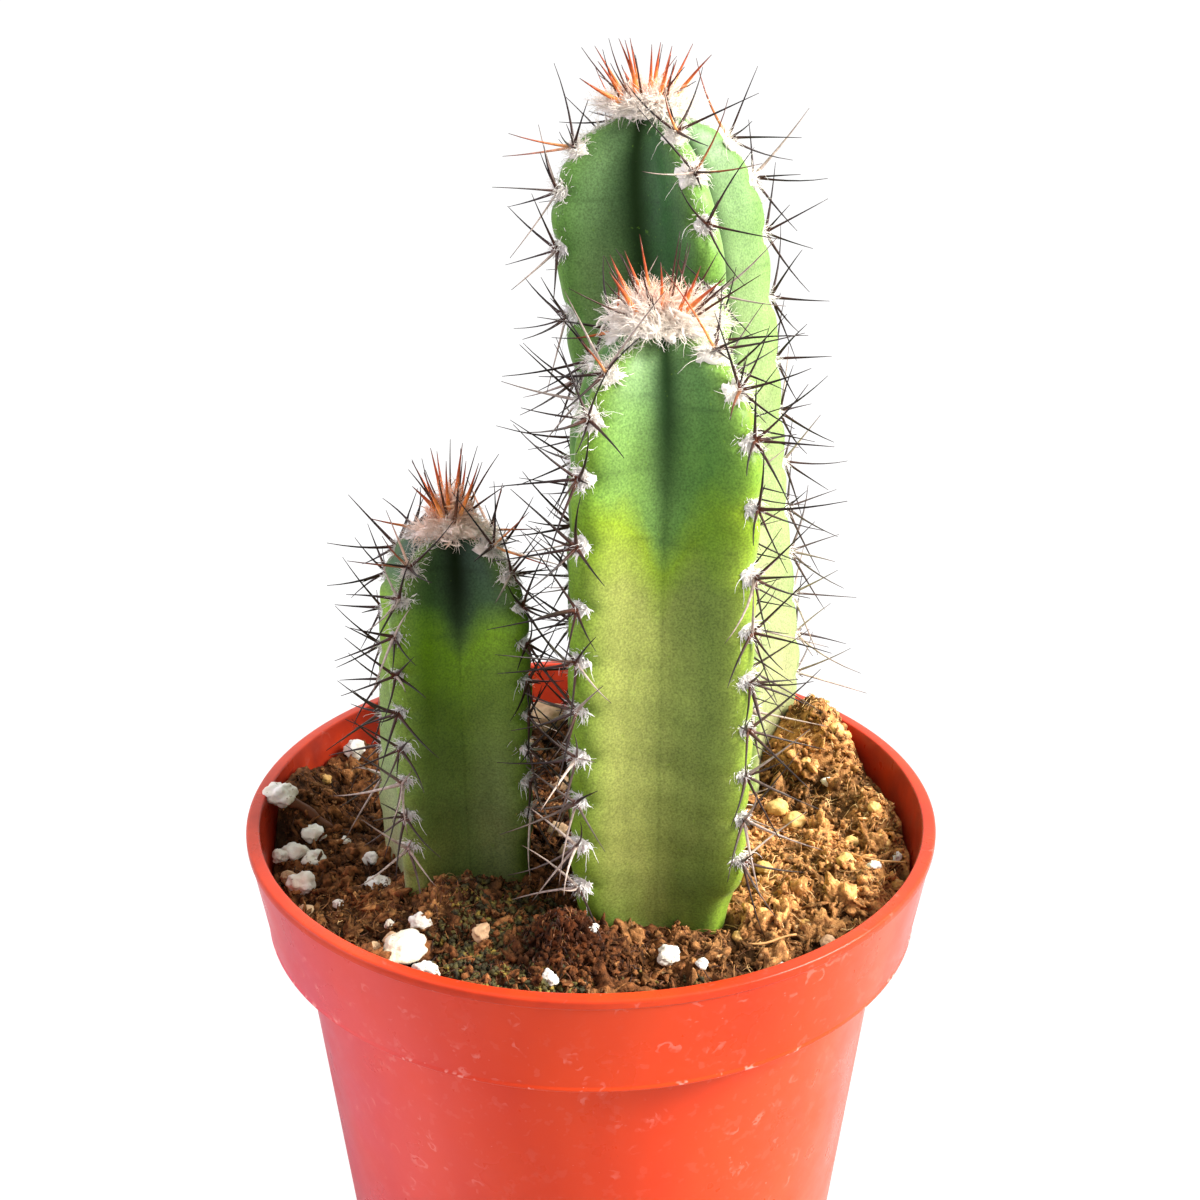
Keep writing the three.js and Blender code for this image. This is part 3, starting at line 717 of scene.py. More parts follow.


# the valley's darker skin and painted shade: its width at the top in degrees, and where along the stem it
# fades in
grooves = {
    "tall": {"width": 17.0, "from": 0.4, "to": 0.8},
    "front": {"width": 15.0, "from": 0.6, "to": 0.94},
    "small": {"width": 17.0, "from": 0.66, "to": 0.92},
}
bandStep = 10.5  # between the faint growth lines
keyLightSide = np.array([0.78, -0.1, 0.4])


# a ring's numbers averaged with as many neighbours on either side
def softened(values, reach):
    return sum(np.roll(values, turn, axis=1) for turn in range(-reach, reach + 1)) / (2 * reach + 1)


# 1 where the surface faces the key light's side, 0 where it is turned away from it; the skin's material
# paints light and shade from it
def facingKeyLight(points):
    upward = np.gradient(points, axis=0)
    around = np.roll(points, -1, axis=1) - np.roll(points, 1, axis=1)
    outward = unit(np.cross(around, upward) + 1e-9)
    return ease(0.5 + 0.75 * (outward @ keyLightSide))


# a slow swelling and a fine ripple, so that the flanks aren't ruled surfaces
def skinRipple(stem, height, angle):
    seed = stem["seed"]
    ripple = 0.1 * np.sin(height * 0.29 + 2 * np.sin(angle * 2 + seed))
    ripple = ripple + 0.05 * np.sin(height * 0.83 + angle * 3)
    return ripple + 0.22 * np.sin(height * 0.11 + angle + seed)


# what the skin's material reads: away is in degrees from the nearest crest
def skinShades(stem, shadow, height, angle, away, sunny):
    share = np.clip(stemShare(stem, height), 0, 1)
    depth = ease((share - shadow["from"]) / (shadow["to"] - shadow["from"]))
    inward = 180 / ribbing["ribs"] - away
    wave = height + 1.6 * np.sin(angle * 1.5 + stem["seed"]) + 0.5 * np.sin(angle * 5)
    band = (wave / bandStep) % 1
    shades = {
        "rise": share + 0.09 * np.exp(-(inward / 15) ** 2),
        "crest": np.exp(-(away / 9.5) ** 2),
        "groove": np.exp(-(inward / mix(1.6, shadow["width"], depth)) ** 2) * mix(0.2, 1, depth),
        "band": np.exp(-((band - 0.5) / 0.035) ** 2) * (away > 8) * ease((share - 0.55) / 0.2),
        "sunny": sunny,
    }
    ends = ([0, -1], [0, 0])
    return {label: np.append(values.ravel(), values[ends]) for label, values in shades.items()}


def skinMesh(stem, shadow):
    domeTop = stem["domeHeight"] * stem["radius"]
    straight = np.arange(ribbing["visibleFoot"], stem["top"] - domeTop, ribbing["rowHeight"])
    domeRows = int(domeTop / ribbing["rowHeight"] * 1.3)
    curved = stem["top"] - domeTop * (1 - np.arange(domeRows) / domeRows) ** 1.9
    height = np.concatenate([straight, curved])[:, None]
    around = np.arange(ribbing["columns"]) * 360 / ribbing["columns"]
    step = 360 / ribbing["ribs"]
    rib = np.floor(((around + step / 2) % 360) / step).astype(int)
    offset = (around + step / 2) % 360 - step * (rib + 0.5)
    radius = stemRadius(stem, rib[None, :], offset[None, :], height, smoothSection)
    soft = softened(radius, 6)
    inGroove = np.exp(-((45 - np.abs(offset)) / 13) ** 2)[None, :]
    radius = mix(radius, soft, inGroove * mix(1, 0.5, ease(stemShare(stem, height))))
    push = np.zeros_like(radius)
    for index in range(ribbing["ribs"]):
        push[:, rib == index] = crenation(stem, index, height[:, 0])[:, None]
    fade = np.exp(-(offset / 8) ** 2)[None, :] * mix(0.55, 1, ease(stemShare(stem, height)))
    small = np.clip(crestRadius(stem, height) / (0.6 * stem["radius"]), 0, 1)
    angle = ribAngle(stem, rib[None, :], height) + np.radians(offset[None, :])
    radius = radius + (push * fade + skinRipple(stem, height, angle)) * small
    x, y = stemAxis(stem, height)
    points = np.stack([x + radius * np.sin(angle), y - radius * np.cos(angle), height + 0 * angle], -1)
    tipX, tipY = stemAxis(stem, stem["top"])
    footX, footY = stemAxis(stem, ribbing["visibleFoot"])
    ends = [(footX, footY, ribbing["visibleFoot"]), (tipX, tipY, stem["top"])]
    away = np.abs(offset)[None, :] + 0 * height
    # painted light and shade: how far each point faces the key light, softened in the valley
    facing = facingKeyLight(points)
    sunny = mix(facing, softened(facing, 7), np.broadcast_to(inGroove, away.shape))
    shades = skinShades(stem, shadow, height, angle, away, sunny)
    return (np.concatenate([points.reshape(-1, 3), ends]), ringFaces(len(height), len(around))), shades


# each ramp runs from the foot of the stem to its top; away is a painted light and shade tint on the side
# turned from the key light, darker and greener on the tall and front stems, lighter and bluer on the small
# one
skins = {
    "tall": {
        "ramp": [
            (0.0, (0.33, 0.33, 0.16)), (0.35, (0.27, 0.33, 0.14)), (0.6, (0.23, 0.31, 0.12)),
            (0.85, (0.16, 0.27, 0.095)), (1.0, (0.13, 0.24, 0.09)),
        ],
        "away": (0.14, 0.36, 0.18), "edge": (0.16, 0.34, 0.03), "crease": (0.014, 0.03, 0.009),
        "scar": (0.5, 0.4, 0.22), "scars": 0.17,
    },
    "front": {
        "ramp": [
            (0.0, (0.15, 0.24, 0.04)), (0.2, (0.27, 0.29, 0.075)), (0.64, (0.29, 0.32, 0.075)),
            (0.74, (0.27, 0.38, 0.025)), (0.81, (0.16, 0.29, 0.06)), (1.0, (0.15, 0.27, 0.1)),
        ],
        "away": (0.33, 0.58, 0.33), "edge": (0.2, 0.35, 0.01), "crease": (0.014, 0.034, 0.011),
        "scar": (0.55, 0.45, 0.25), "scars": 0.15,
    },
    "small": {
        "ramp": [
            (0.0, (0.17, 0.2, 0.05)), (0.3, (0.11, 0.17, 0.035)), (0.6, (0.08, 0.15, 0.01)),
            (0.77, (0.12, 0.25, 0.005)), (0.88, (0.035, 0.08, 0.018)), (1.0, (0.022, 0.042, 0.02)),
        ],
        "away": (2.0, 1.75, 3.6), "edge": (0.17, 0.28, 0.03), "crease": (0.008, 0.014, 0.005),
        "scar": (0.6, 0.42, 0.15), "scars": 0.24,
    },
}


def skinMaterial(name):
    look = skins[name]
    material, tree, shader = newMaterial(name + "Skin", 0.44, 0.2, {
        "Subsurface Weight": 0.1, "Subsurface Radius": (0.3, 0.6, 0.15), "Subsurface Scale": 0.003,
        "Sheen Weight": 0.03, "Sheen Roughness": 0.45,
    })
    drift = times(tree, maths(tree, "SUBTRACT", grain(tree, 11.0, 3.0), 0.5), 0.16)
    colour = ramp(tree, maths(tree, "ADD", shade(tree, "rise"), drift), look["ramp"])
    # painted light and shade: the side turned from the key light is tinted by away
    turned = blend(tree, shade(tree, "sunny"), look["away"], (1.0, 1.0, 1.0))
    colour = blend(tree, 1.0, colour, turned, "MULTIPLY")
    colour = mark(tree, colour, shade(tree, "crest"), 0.62, look["edge"])
    cloud = patchy(tree, 0.86, 1.14, 6.0, 3.0)
    colour = dim(tree, colour, times(tree, patchy(tree, 0.7, 1.3, 0.32, 2.0), cloud))
    groove = shade(tree, "groove")
    bands = times(tree, shade(tree, "band"), spots(tree, 16.0, 0.62, 0.2))
    for mask, share, tone in (
        # the skin's own darker crease with painted shade: the valley is darkened nearly to the crease tone
        (groove, 0.96, "crease"),
        (bands, 0.3, "crease"),
        (spots(tree, 0.9, 0.3, 0.04), 0.25, "edge"),
        (spots(tree, 5.5, look["scars"], 0.02), 0.7, "scar"),
        (spots(tree, 0.8, 0.2, 0.02), 0.6, "scar"),
    ):
        colour = mark(tree, colour, mask, share, look[tone])
    glint = times(tree, maths(tree, "SUBTRACT", 1.0, groove), 0.2)
    tree.links.new(glint, shader.inputs["Specular IOR Level"])
    lines = grain(tree, 5.0, 4.0, 5.5)
    height = times(tree, maths(tree, "ADD", lines, grain(tree, 0.5, 3.0)), 0.5)
    wire(tree, shader, colour, patchy(tree, 0.36, 0.52, 2.2, 5.0), height, 0.1, 0.6)
    return material


for name, stem in stems.items():
    shape, shades = skinMesh(stem, grooves[name])
    makePiece(name + "Skin", shape, skinMaterial(name), name + "_stem", shades)
print("stems skinned")


# areoles and spines: the frame's own spines first, then more between them

areole = {
    "proud": 1.6, "spines": 5, "extra": 1, "groundGap": 3.0,
    "pad": (1.5, 2.0, 1.8),  # how far the wool stands out, up and to the sides
}

spine = {
    "longest": 15.5, "shortest": 9.5, "droop": 0.25, "lean": 64.0, "centralLean": 24.0, "stub": 2.2,
    "stemGap": 2.6, "spineGap": 1.3, "soilGap": 2.6, "potGap": 1.6,
    "baseRadius": 0.31, "tipRadius": 0.05, "steps": 7, "sides": 6,
}


def listAreoles(name, stem):
    found = []
    for rib in range(ribbing["ribs"]):
        for index, height in enumerate(ribHeights(stem, rib)[:-1]):
            place = stemPoint(stem, rib, 0, height, -ribbing["notch"])
            if height - groundHeight(place[0], place[1]) <= areole["groundGap"]:
                continue
            above = stemPoint(stem, rib, 0, min(height + 0.4, stem["top"] - 0.05), 0)
            below = stemPoint(stem, rib, 0, height - 0.4, 0)
            up = unit(above - below)
            angle = ribAngle(stem, rib, height)
            radial = np.array([math.sin(angle), -math.cos(angle), 0])
            side = unit(np.cross(radial, up))
            out = unit(np.cross(up, side))
            found.append({
                "name": name, "stem": stem, "height": height, "place": place, "out": out, "up": up,
                "side": side, "seed": stem["seed"] + rib * 31 + index * 1.7,
            })
    return found


def insideStem(stem, points, margin):
    height = np.minimum(points[:, 2], stem["top"] - 0.5)
    x, y = stemAxis(stem, height)
    dx = points[:, 0] - x
    dy = points[:, 1] - y
    step = 360 / ribbing["ribs"]
    turn = np.degrees(np.arctan2(dx, -dy) - ribAngle(stem, 0, height))
    around = (turn + step / 2) % 360
    rib = np.floor(around / step).astype(int) % ribbing["ribs"]
    offset = around - step * (rib + 0.5)
    close = np.hypot(dx, dy) < stemRadius(stem, rib, offset, height) + margin
    return close & (points[:, 2] <= stem["top"] + margin)


def spineIsClear(root, tip, spot, others):
    shares = np.arange(1, 11)[:, None] / 10
    points = root + (tip - root) * shares
    if np.any(points[:, 2] < groundHeight(points[:, 0], points[:, 1]) + spine["soilGap"]):
        return False
    low = points[:, 2] <= potSize["height"] + spine["potGap"]
    mouth = potSize["rim"] - potSize["lipWidth"] - spine["potGap"]
    if np.any(low & (np.hypot(points[:, 0], points[:, 1]) > mouth)):
        return False
    for other in stems.values():
        if other is not spot["stem"] and np.any(insideStem(other, points, spine["stemGap"])):
            return False
    if len(others) == 0:
        return True
    samples = root + (tip - root) * (np.arange(15)[:, None] / 14)
    starts = others[None, :, 0]
    lines = others[None, :, 1] - starts
    share = ((samples[:, None] - starts) * lines).sum(-1) / (lines ** 2).sum(-1)
    nearest = starts + lines * np.clip(share, 0, 1)[..., None]
    return np.linalg.norm(nearest - samples[:, None], axis=-1).min() > spine["spineGap"]


def spineTowards(spot, lean, around, length):
    lean = math.radians(lean)
    around = math.radians(around)
    direction = spot["out"] * math.cos(lean)
    direction = direction + spot["up"] * math.sin(lean) * math.cos(around)
    direction = direction + spot["side"] * math.sin(lean) * math.sin(around)
    hang = min(max(1 - stemShare(spot["stem"], spot["height"]) / 0.6, 0), 1)
    direction[2] -= spine["droop"] * hang
    root = spot["place"] + spot["out"] * areole["proud"]
    return root, root + direction * length


def growSpine(spot, index, others):
    seed = spot["seed"] + index * 7.3
    sector = 360 / areole["spines"]
    central = index == math.floor(chance(spot["seed"]) * areole["spines"])
    lean = (spine["centralLean"] if central else spine["lean"]) + between(-9, 9, seed + 1)
    around = sector * (index + 0.5) + between(-13, 13, seed + 2)
    length = between(spine["shortest"], spine["longest"], seed + 3) * spot["stem"]["spineScale"]
    for share in (1, 0.8, 0.62):
        for less in (0, 0.3, 0.6):
            for turn in (0, 18, -18):
                turned = min(max(around + turn, sector * index + 4), sector * (index + 1) - 4)
                root, tip = spineTowards(spot, lean * (1 - less), turned, length * share)
                if spineIsClear(root, tip, spot, others):
                    return root, tip
    return spineTowards(spot, lean * 0.4, around, spine["stub"])


def growExtra(spot, index):
    seed = spot["seed"] + 90 + index * 5.1
    lean = between(48, 82, seed)
    around = between(0, 360, seed + 1)
    length = between(4.5, 10, seed + 2) * spot["stem"]["spineScale"]
    root, tip = spineTowards(spot, lean, around, length)
    clear = spineIsClear(root, tip, spot, np.zeros((0, 2, 3)))
    return (root, tip) if clear else None


def growSpines():
    found = [spot for name, stem in stems.items() for spot in listAreoles(name, stem)]
    grown = {name: [] for name in stems}
    for spot in found:
        others = [pair for name in stems if name != spot["name"] for pair in grown[name]]
        others = np.array(others) if others else np.zeros((0, 2, 3))
        spot["spines"] = [growSpine(spot, index, others) for index in range(areole["spines"])]
        grown[spot["name"]].extend(spot["spines"])
        more = [growExtra(spot, index) for index in range(areole["extra"])]
        spot["spines"].extend(pair for pair in more if pair)
    return found


areoles = growSpines()
print("areoles placed:", len(areoles), "spines:", sum(len(spot["spines"]) for spot in areoles))


def spineMaterial():
    stops = {  # from root to tip
        "fresh": [
            (0.0, (0.14, 0.045, 0.022)), (0.12, (0.05, 0.018, 0.012)),
            (0.5, (0.014, 0.008, 0.008)), (1.0, (0.02, 0.01, 0.008)),
        ],
        "old": [
            (0.0, (0.46, 0.36, 0.3)), (0.45, (0.52, 0.42, 0.36)),
            (0.85, (0.32, 0.24, 0.2)), (1.0, (0.04, 0.02, 0.014)),
        ],
        "young": [
            (0.0, (0.95, 0.5, 0.2)), (0.3, (0.9, 0.27, 0.06)),
            (0.62, (0.5, 0.085, 0.022)), (1.0, (0.06, 0.016, 0.01)),
        ],
    }
    material, tree, shader = newMaterial("spineHorn", 0.38, 0.25)
    tones = {label: ramp(tree, shade(tree, "along"), own) for label, own in stops.items()}
    colour = blend(tree, shade(tree, "age"), tones["fresh"], tones["old"])
    colour = blend(tree, shade(tree, "youth"), colour, tones["young"])
    colour = dim(tree, colour, patchy(tree, 0.7, 1.3, 0.7, 3.0))
    wire(tree, shader, colour, patchy(tree, 0.3, 0.5, 1.2), grain(tree, 0.35), 0.03, 0.4)
    return material


def spineMesh(pairs, seeds, baseRadius, bend=0.045, fullness=0.8):
    roots = np.array([pair[0] for pair in pairs])
    tips = np.array([pair[1] for pair in pairs])
    shares = np.linspace(0, 1, spine["steps"]) ** 1.25
    length = np.linalg.norm(tips - roots, axis=1)
    sway = np.stack([between(-1, 1, seeds + 3), between(-1, 1, seeds + 4), between(-1, 0.3, seeds + 5)], -1)
    arc = (shares * (1 - shares) * 4)[None, :, None] * (sway * length[:, None] * bend)[:, None]
    paths = roots[:, None] + (tips - roots)[:, None] * shares[None, :, None] + arc
    thick = (baseRadius * between(0.8, 1.15, seeds + 6))[:, None]
    radii = mix(thick, spine["tipRadius"], (shares ** fullness)[None, :])
    radii[:, 0] *= 1.15
    along = np.repeat(np.tile(shares, len(pairs)), spine["sides"])
    return tubeMesh(paths, radii, spine["sides"]), along


# one number for each spine, given to all the points of its mesh
def perPoint(values):
    return np.repeat(values, spine["steps"] * spine["sides"])


# age makes a spine pale and chalky, which is commoner low on the stem; youth makes it orange
def makeSpines(name):
    own = [spot for spot in areoles if spot["name"] == name]
    pairs = [pair for spot in own for pair in spot["spines"]]
    seeds = np.array([spot["seed"] + 2.3 * index for spot in own for index in range(len(spot["spines"]))])
    shape, along = spineMesh(pairs, seeds, spine["baseRadius"])
    share = np.array([stemShare(spot["stem"], spot["height"]) for spot in own for pair in spot["spines"]])
    pale = chance(seeds + 8) > mix(0.42, 0.9, ease((share - 0.1) / 0.4))
    slight = between(0, 0.25, seeds + 11) * ease((0.6 - share) / 0.4)
    age = np.clip(np.where(pale, between(0.6, 1, seeds + 10), slight), 0, 1)
    youth = ease((share - 0.9) / 0.08) * (chance(seeds + 9) > 0.75) * 0.8
    shades = {"along": along, "age": perPoint(age), "youth": perPoint(youth)}
    makePiece(name + "Spines", shape, spineLook, name + "_stem", shades)


spineLook = spineMaterial()
for name in stems:
    makeSpines(name)
print("spines grown")


# wool: a lumpy pad in each notch with loose hairs over it

# thick pointed locks round the pad, fine hairs over it and a few long wisps; length, thickness, steps, curl
# and droop are those of the hairs, growth is how many more there are on the youngest areoles
woolLayers = {
    "locks": {
        "count": 26, "growth": 0, "seeds": (2.9, 1.117), "fan": (0.7, 1.5), "start": 0.7, "forward": 0.25,
        "length": (1.2, 2.4), "thick": (0.17, 0.36), "shifts": (0.2, 0.3), "path": (6, 0.4, 0.12),
        "tube": (5, 0.9), "scaled": True,
    },
    "hairs": {
        "count": 95, "growth": 0.6, "seeds": (3.7, 0.917), "fan": (0.15, 1.45), "start": 0.9, "forward": 0,
        "length": (1.2, 3.0), "thick": (0.05, 0.09), "shifts": (0.3, 0.4), "path": (5, 0.55, 0.1),
        "tube": (3, 0.75), "scaled": False,
    },
    "wisps": {
        "count": 3, "growth": 0, "seeds": (4.3, 1.31), "fan": (0.9, 1.5), "start": 0.9, "forward": 0,
        "length": (3.0, 5.5), "thick": (0.06, 0.1), "shifts": (0.3, 0.4), "path": (8, 0.3, 0.25),
        "tube": (3, 0.75), "scaled": False,
    },
}
crestTufts = (110, 70, 22)  # hairs on each crest above the first, second and third areole


def woolMaterial():
    look = {
        "old": (0.99, 0.97, 0.95),
        "fresh": (1.0, 0.95, 0.86),
        "shadow": (0.68, 0.57, 0.45),
        "heart": (0.4, 0.24, 0.18),
    }
    sheen = {"Sheen Weight": 1.0, "Sheen Roughness": 0.4}
    material, tree, shader = newMaterial("areoleWool", 0.95, 0.15, sheen)
    colour = blend(tree, shade(tree, "fresh"), look["old"], look["fresh"])
    colour = blend(tree, patchy(tree, 0.3, 0.0, 1.1), colour, look["shadow"])
    colour = mark(tree, colour, shade(tree, "heart"), patchy(tree, 0.3, 1.0, 0.8), look["heart"])
    wire(tree, shader, colour, None, grain(tree, 0.2, 5.0), 0.12, 0.9)
    return material


# a lumpy mound on three axes: out of the stem, up it and across it
def moundMesh(centre, axes, widths, seed, rings=9, sides=20, rough=0.4):
    out, up, side = axes
    lift = np.linspace(0, math.pi / 2 * 0.96, rings)[:, None]
    angle = (np.arange(sides) * 2 * math.pi / sides)[None, :]
    flat = up * (np.cos(lift) * np.cos(angle) * widths[1])[..., None]
    flat = flat + side * (np.cos(lift) * np.sin(angle) * widths[2])[..., None]
    mound = (flat + out * (np.sin(lift) * widths[0] - 0.35 + 0 * angle)[..., None]).reshape(-1, 3)
    lumps = [noise.fractal(Vector(point * 0.8 + seed), 0.7, 2.1, 4) for point in mound]
    points = centre + mound * (1 + rough * np.array(lumps))[:, None]
    ends = [centre - out * 0.5, centre + out * (widths[0] - 0.3)]
    return np.concatenate([points, ends]), ringFaces(rings, sides)


# curly hairs: each sets off in its own direction and wanders, drooping a little
def hairPaths(roots, directions, lengths, seeds, steps=6, curl=0.55, droop=0.0):
    paths = [roots]
    heading = unit(directions)
    for step in range(1, steps):
        turn = np.stack([chance(seeds + step * 1.3 + axis * 0.37) - 0.5 for axis in range(3)], -1)
        heading = unit(heading + turn * 2 * curl - np.array([0, 0, droop]))
        paths.append(paths[-1] + heading * (lengths / (steps - 1))[:, None])
    return np.stack(paths, 1)


def hairMesh(paths, thickness, sides=3, taper=0.75):
    shares = np.linspace(0, 1, paths.shape[1])
    radii = thickness[:, None] * (1 - taper * shares ** 1.3)[None, :]
    return tubeMesh(paths, radii, sides)


def fanOut(spot, seeds, low, high):
    around = between(0, 2 * math.pi, seeds)
    lean = between(low, high, seeds + 0.1)
    flat = np.cos(around)[:, None] * spot["up"] + np.sin(around)[:, None] * spot["side"]
    return np.cos(lean)[:, None] * spot["out"] + np.sin(lean)[:, None] * flat


def woolLayer(kind, spot, centre, size, youthful):
    layer = woolLayers[kind]
    seedScale, seedStep = layer["seeds"]
    lengthShift, thickShift = layer["shifts"]
    count = int(layer["count"] * (1 + layer["growth"] * youthful))
    seeds = spot["seed"] * seedScale + np.arange(count) * seedStep
    outward = fanOut(spot, seeds, *layer["fan"])
    roots = centre + outward * layer["start"]
    lengths = between(*layer["length"], seeds + lengthShift) * size
    paths = hairPaths(roots, outward + spot["out"] * layer["forward"], lengths, seeds, *layer["path"])
    thick = between(*layer["thick"], seeds + thickShift) * (size if layer["scaled"] else 1)
    return hairMesh(paths, thick, *layer["tube"])


# one areole's meshes, each with how much of the pad's darker heart it shows, and its fine hairs
def areoleWool(spot, size, youthful):
    centre = spot["place"] + spot["up"] * 0.15
    widths = np.array(areole["pad"]) * size
    mound = moundMesh(centre, (spot["out"], spot["up"], spot["side"]), widths, spot["seed"])
    locks, hairs, wisps = (woolLayer(kind, spot, centre, size, youthful) for kind in woolLayers)
    away = np.linalg.norm(mound[0] - (centre + spot["out"] * widths[0]), axis=1)
    return [(mound, np.exp(-(away / 0.95) ** 2)), (locks, 0.0), (wisps, 0.0)], hairs


# loose wool along the crest, between the crown and the youngest areoles
def crestWool(stem, rib, low, high, count, seed):
    seeds = seed + np.arange(count) * 0.613
    heights = between(low, high, seeds)
    offset = between(-6, 6, seeds + 0.1)
    roots, above = (
        np.array([stemPoint(stem, rib, turn, height + rise, -0.25) for turn, height in zip(offset, heights)])
        for rise in (0, 0.3)
    )
    up = unit(above - roots)
    x, y = stemAxis(stem, heights)
    out = unit(np.stack([roots[:, 0] - x, roots[:, 1] - y, 0 * x], -1))
    sway = (chance(seeds + 0.2) - 0.5)[:, None] * 1.6 * np.cross(out, up)
    directions = out * 0.5 + up * (2 * chance(seeds + 0.3) - 1)[:, None] + sway
    paths = hairPaths(roots, directions, between(1.0, 3.2, seeds + 0.4), seeds, 5, 0.5)
    return hairMesh(paths, between(0.045, 0.08, seeds + 0.5))


# every mesh is kept with how fresh its wool is and how tan, as the small stem's youngest wool is
def makeWool(name, stem):
    isSmall = name == "small"
    pads = []
    hairs = []
    for spot in [spot for spot in areoles if spot["name"] == name]:
        youthful = ease((stemShare(stem, spot["height"]) - 0.78) / 0.2)
        size = mix(0.95, 1.25, youthful) * between(0.85, 1.15, spot["seed"] + 4)
        wool, fine = areoleWool(spot, size * (0.8 if isSmall else 1), youthful)
        tan = 0.6 * youthful if isSmall else 0.0
        pads.extend((mesh, youthful, np.maximum(heart * (1 - 0.6 * youthful), tan)) for mesh, heart in wool)
        hairs.append((fine, youthful, tan))
    for rib in range(ribbing["ribs"]):
        heights = [stem["top"] - 0.6, *ribHeights(stem, rib)[:3]]
        for high, low, count in zip(heights, heights[1:], crestTufts):
            wool = crestWool(stem, rib, low, high, count, stem["seed"] + rib * 17 + low)
            hairs.append((wool, 0.8, 0.35 if isSmall else 0.0))
    for label, parts in (("Wool", pads), ("WoolHairs", hairs)):
        shape = joinMeshes([mesh for mesh, fresh, heart in parts])
        shades = {
            "fresh": np.concatenate([np.full(len(mesh[0]), fresh) for mesh, fresh, heart in parts]),
            "heart": np.concatenate([np.full(len(mesh[0]), heart) for mesh, fresh, heart in parts]),
        }
        makePiece(name + label, shape, woolLook, name + "_stem", shades)


woolLook = woolMaterial()
for name, stem in stems.items():
    makeWool(name, stem)
print("areole wool set")


# crowns: a cushion of cream wool at each tip, with young orange spines standing in it

crowns = {
    "tall": {
        "radius": 6.9, "height": 3.1, "mound": 3.4, "peak": 0.5, "spines": 15, "extra": 11, "hairs": 2200,
        "longest": 5.4, "blushWidth": 0.62, "blushDepth": 1.0, "leastBlush": 0.0, "seed": 400,
    },
    "front": {
        "radius": 7.0, "height": 3.4, "mound": 4.4, "peak": 0.7, "spines": 15, "extra": 11, "hairs": 2600,
        "longest": 5.4, "blushWidth": 0.62, "blushDepth": 1.0, "leastBlush": 0.0, "seed": 500,
    },
    "small": {
        "radius": 4.6, "height": 4.6, "mound": 6.6, "peak": 2.2, "spines": 12, "extra": 11, "hairs": 1500,
        "longest": 3.8, "blushWidth": 1.1, "blushDepth": 1.8, "leastBlush": 0.45, "seed": 600,
    },
}
crownLocks = 150

young = {"longest": 10.5, "shortest": 5.5, "lean": 50.0, "gap": 0.3, "thick": 0.5, "thin": 0.27}


def crownSpine(foot, angle, reach, lean, length, lift=0.0):
    outward = np.array([math.cos(angle), math.sin(angle), 0])
    root = foot + outward * reach
    rise = np.array([0, 0, length * math.cos(lean) + lift])
    return root, root + outward * length * math.sin(lean) + rise


# the frame's own young spines on a spiral, then longer ones between them
def crownPairs(stem, size):
    x, y = stemAxis(stem, stem["top"])
    base = stem["top"] + young["gap"]
    pairs = []
    for index in range(size["spines"]):
        seed = size["seed"] + index * 3.1
        share = math.sqrt((index + 0.5) / size["spines"])
        angle = index * 2.4 + between(-0.2, 0.2, seed)
        foot = np.array([x, y, base + size["height"] * 0.45])
        length = between(young["shortest"], young["longest"], seed + 1) * (1.12 - 0.25 * share)
        lean = math.radians(young["lean"] * share)
        reach = size["radius"] * 0.62 * share
        pairs.append(crownSpine(foot, angle, reach, lean, length, size["height"] * 0.55))
    for index in range(size["extra"]):
        seed = size["seed"] + 60 + index * 2.3
        angle = between(0, 2 * math.pi, seed)
        foot = np.array([x, y, base + size["height"] * 0.4])
        reach = size["radius"] * 0.7 * between(0.15, 1.05, seed + 1)
        lean = math.radians(between(12, 66, seed + 2))
        pairs.append(crownSpine(foot, angle, reach, lean, between(7, 13, seed + 3)))
    return pairs


def crownHairs(stem, size, count, seed, low, high):
    x, y = stemAxis(stem, stem["top"])
    seeds = seed + np.arange(count) * 0.731
    around = between(0, 2 * math.pi, seeds)
    share = np.sqrt(chance(seeds + 0.1))
    outward = np.stack([np.cos(around), np.sin(around), 0 * around], -1)
    uneven = 1 + 0.22 * np.sin(around * 3 + seed) + 0.12 * np.sin(around * 7 + 2 * seed)
    lift = stem["top"] + size["mound"] * uneven * (0.9 * (1 - 0.92 * share ** 2) ** size["peak"] - 0.12)
    reach = (size["radius"] * 0.95 * share * uneven)[:, None]
    roots = np.stack([x + 0 * lift, y + 0 * lift, lift], -1) + outward * reach
    upright = np.array([0, 0, 0.95]) * (1 - 0.8 * share)[:, None]
    directions = outward * (0.25 + 0.9 * share)[:, None] + upright
    return hairPaths(roots, directions, between(low, high, seeds + 0.2), seeds, 6, 0.6, 0.06)


def crownWoolMaterial():
    look = {"wool": (1.0, 0.95, 0.88), "blush": (0.95, 0.46, 0.25), "shadow": (0.8, 0.62, 0.46)}
    sheen = {"Sheen Weight": 0.5, "Sheen Tint": (1.0, 0.88, 0.76, 1), "Sheen Roughness": 0.4}
    material, tree, shader = newMaterial("crownWool", 0.95, 0.15, sheen)
    colour = blend(tree, patchy(tree, 0.4, 0.0, 1.3), look["wool"], look["shadow"])
    colour = mark(tree, colour, shade(tree, "blush"), patchy(tree, 0.25, 1.0, 2.0, 3.0), look["blush"])
    wire(tree, shader, colour, None, grain(tree, 0.2, 5.0), 0.12, 0.9)
    return material


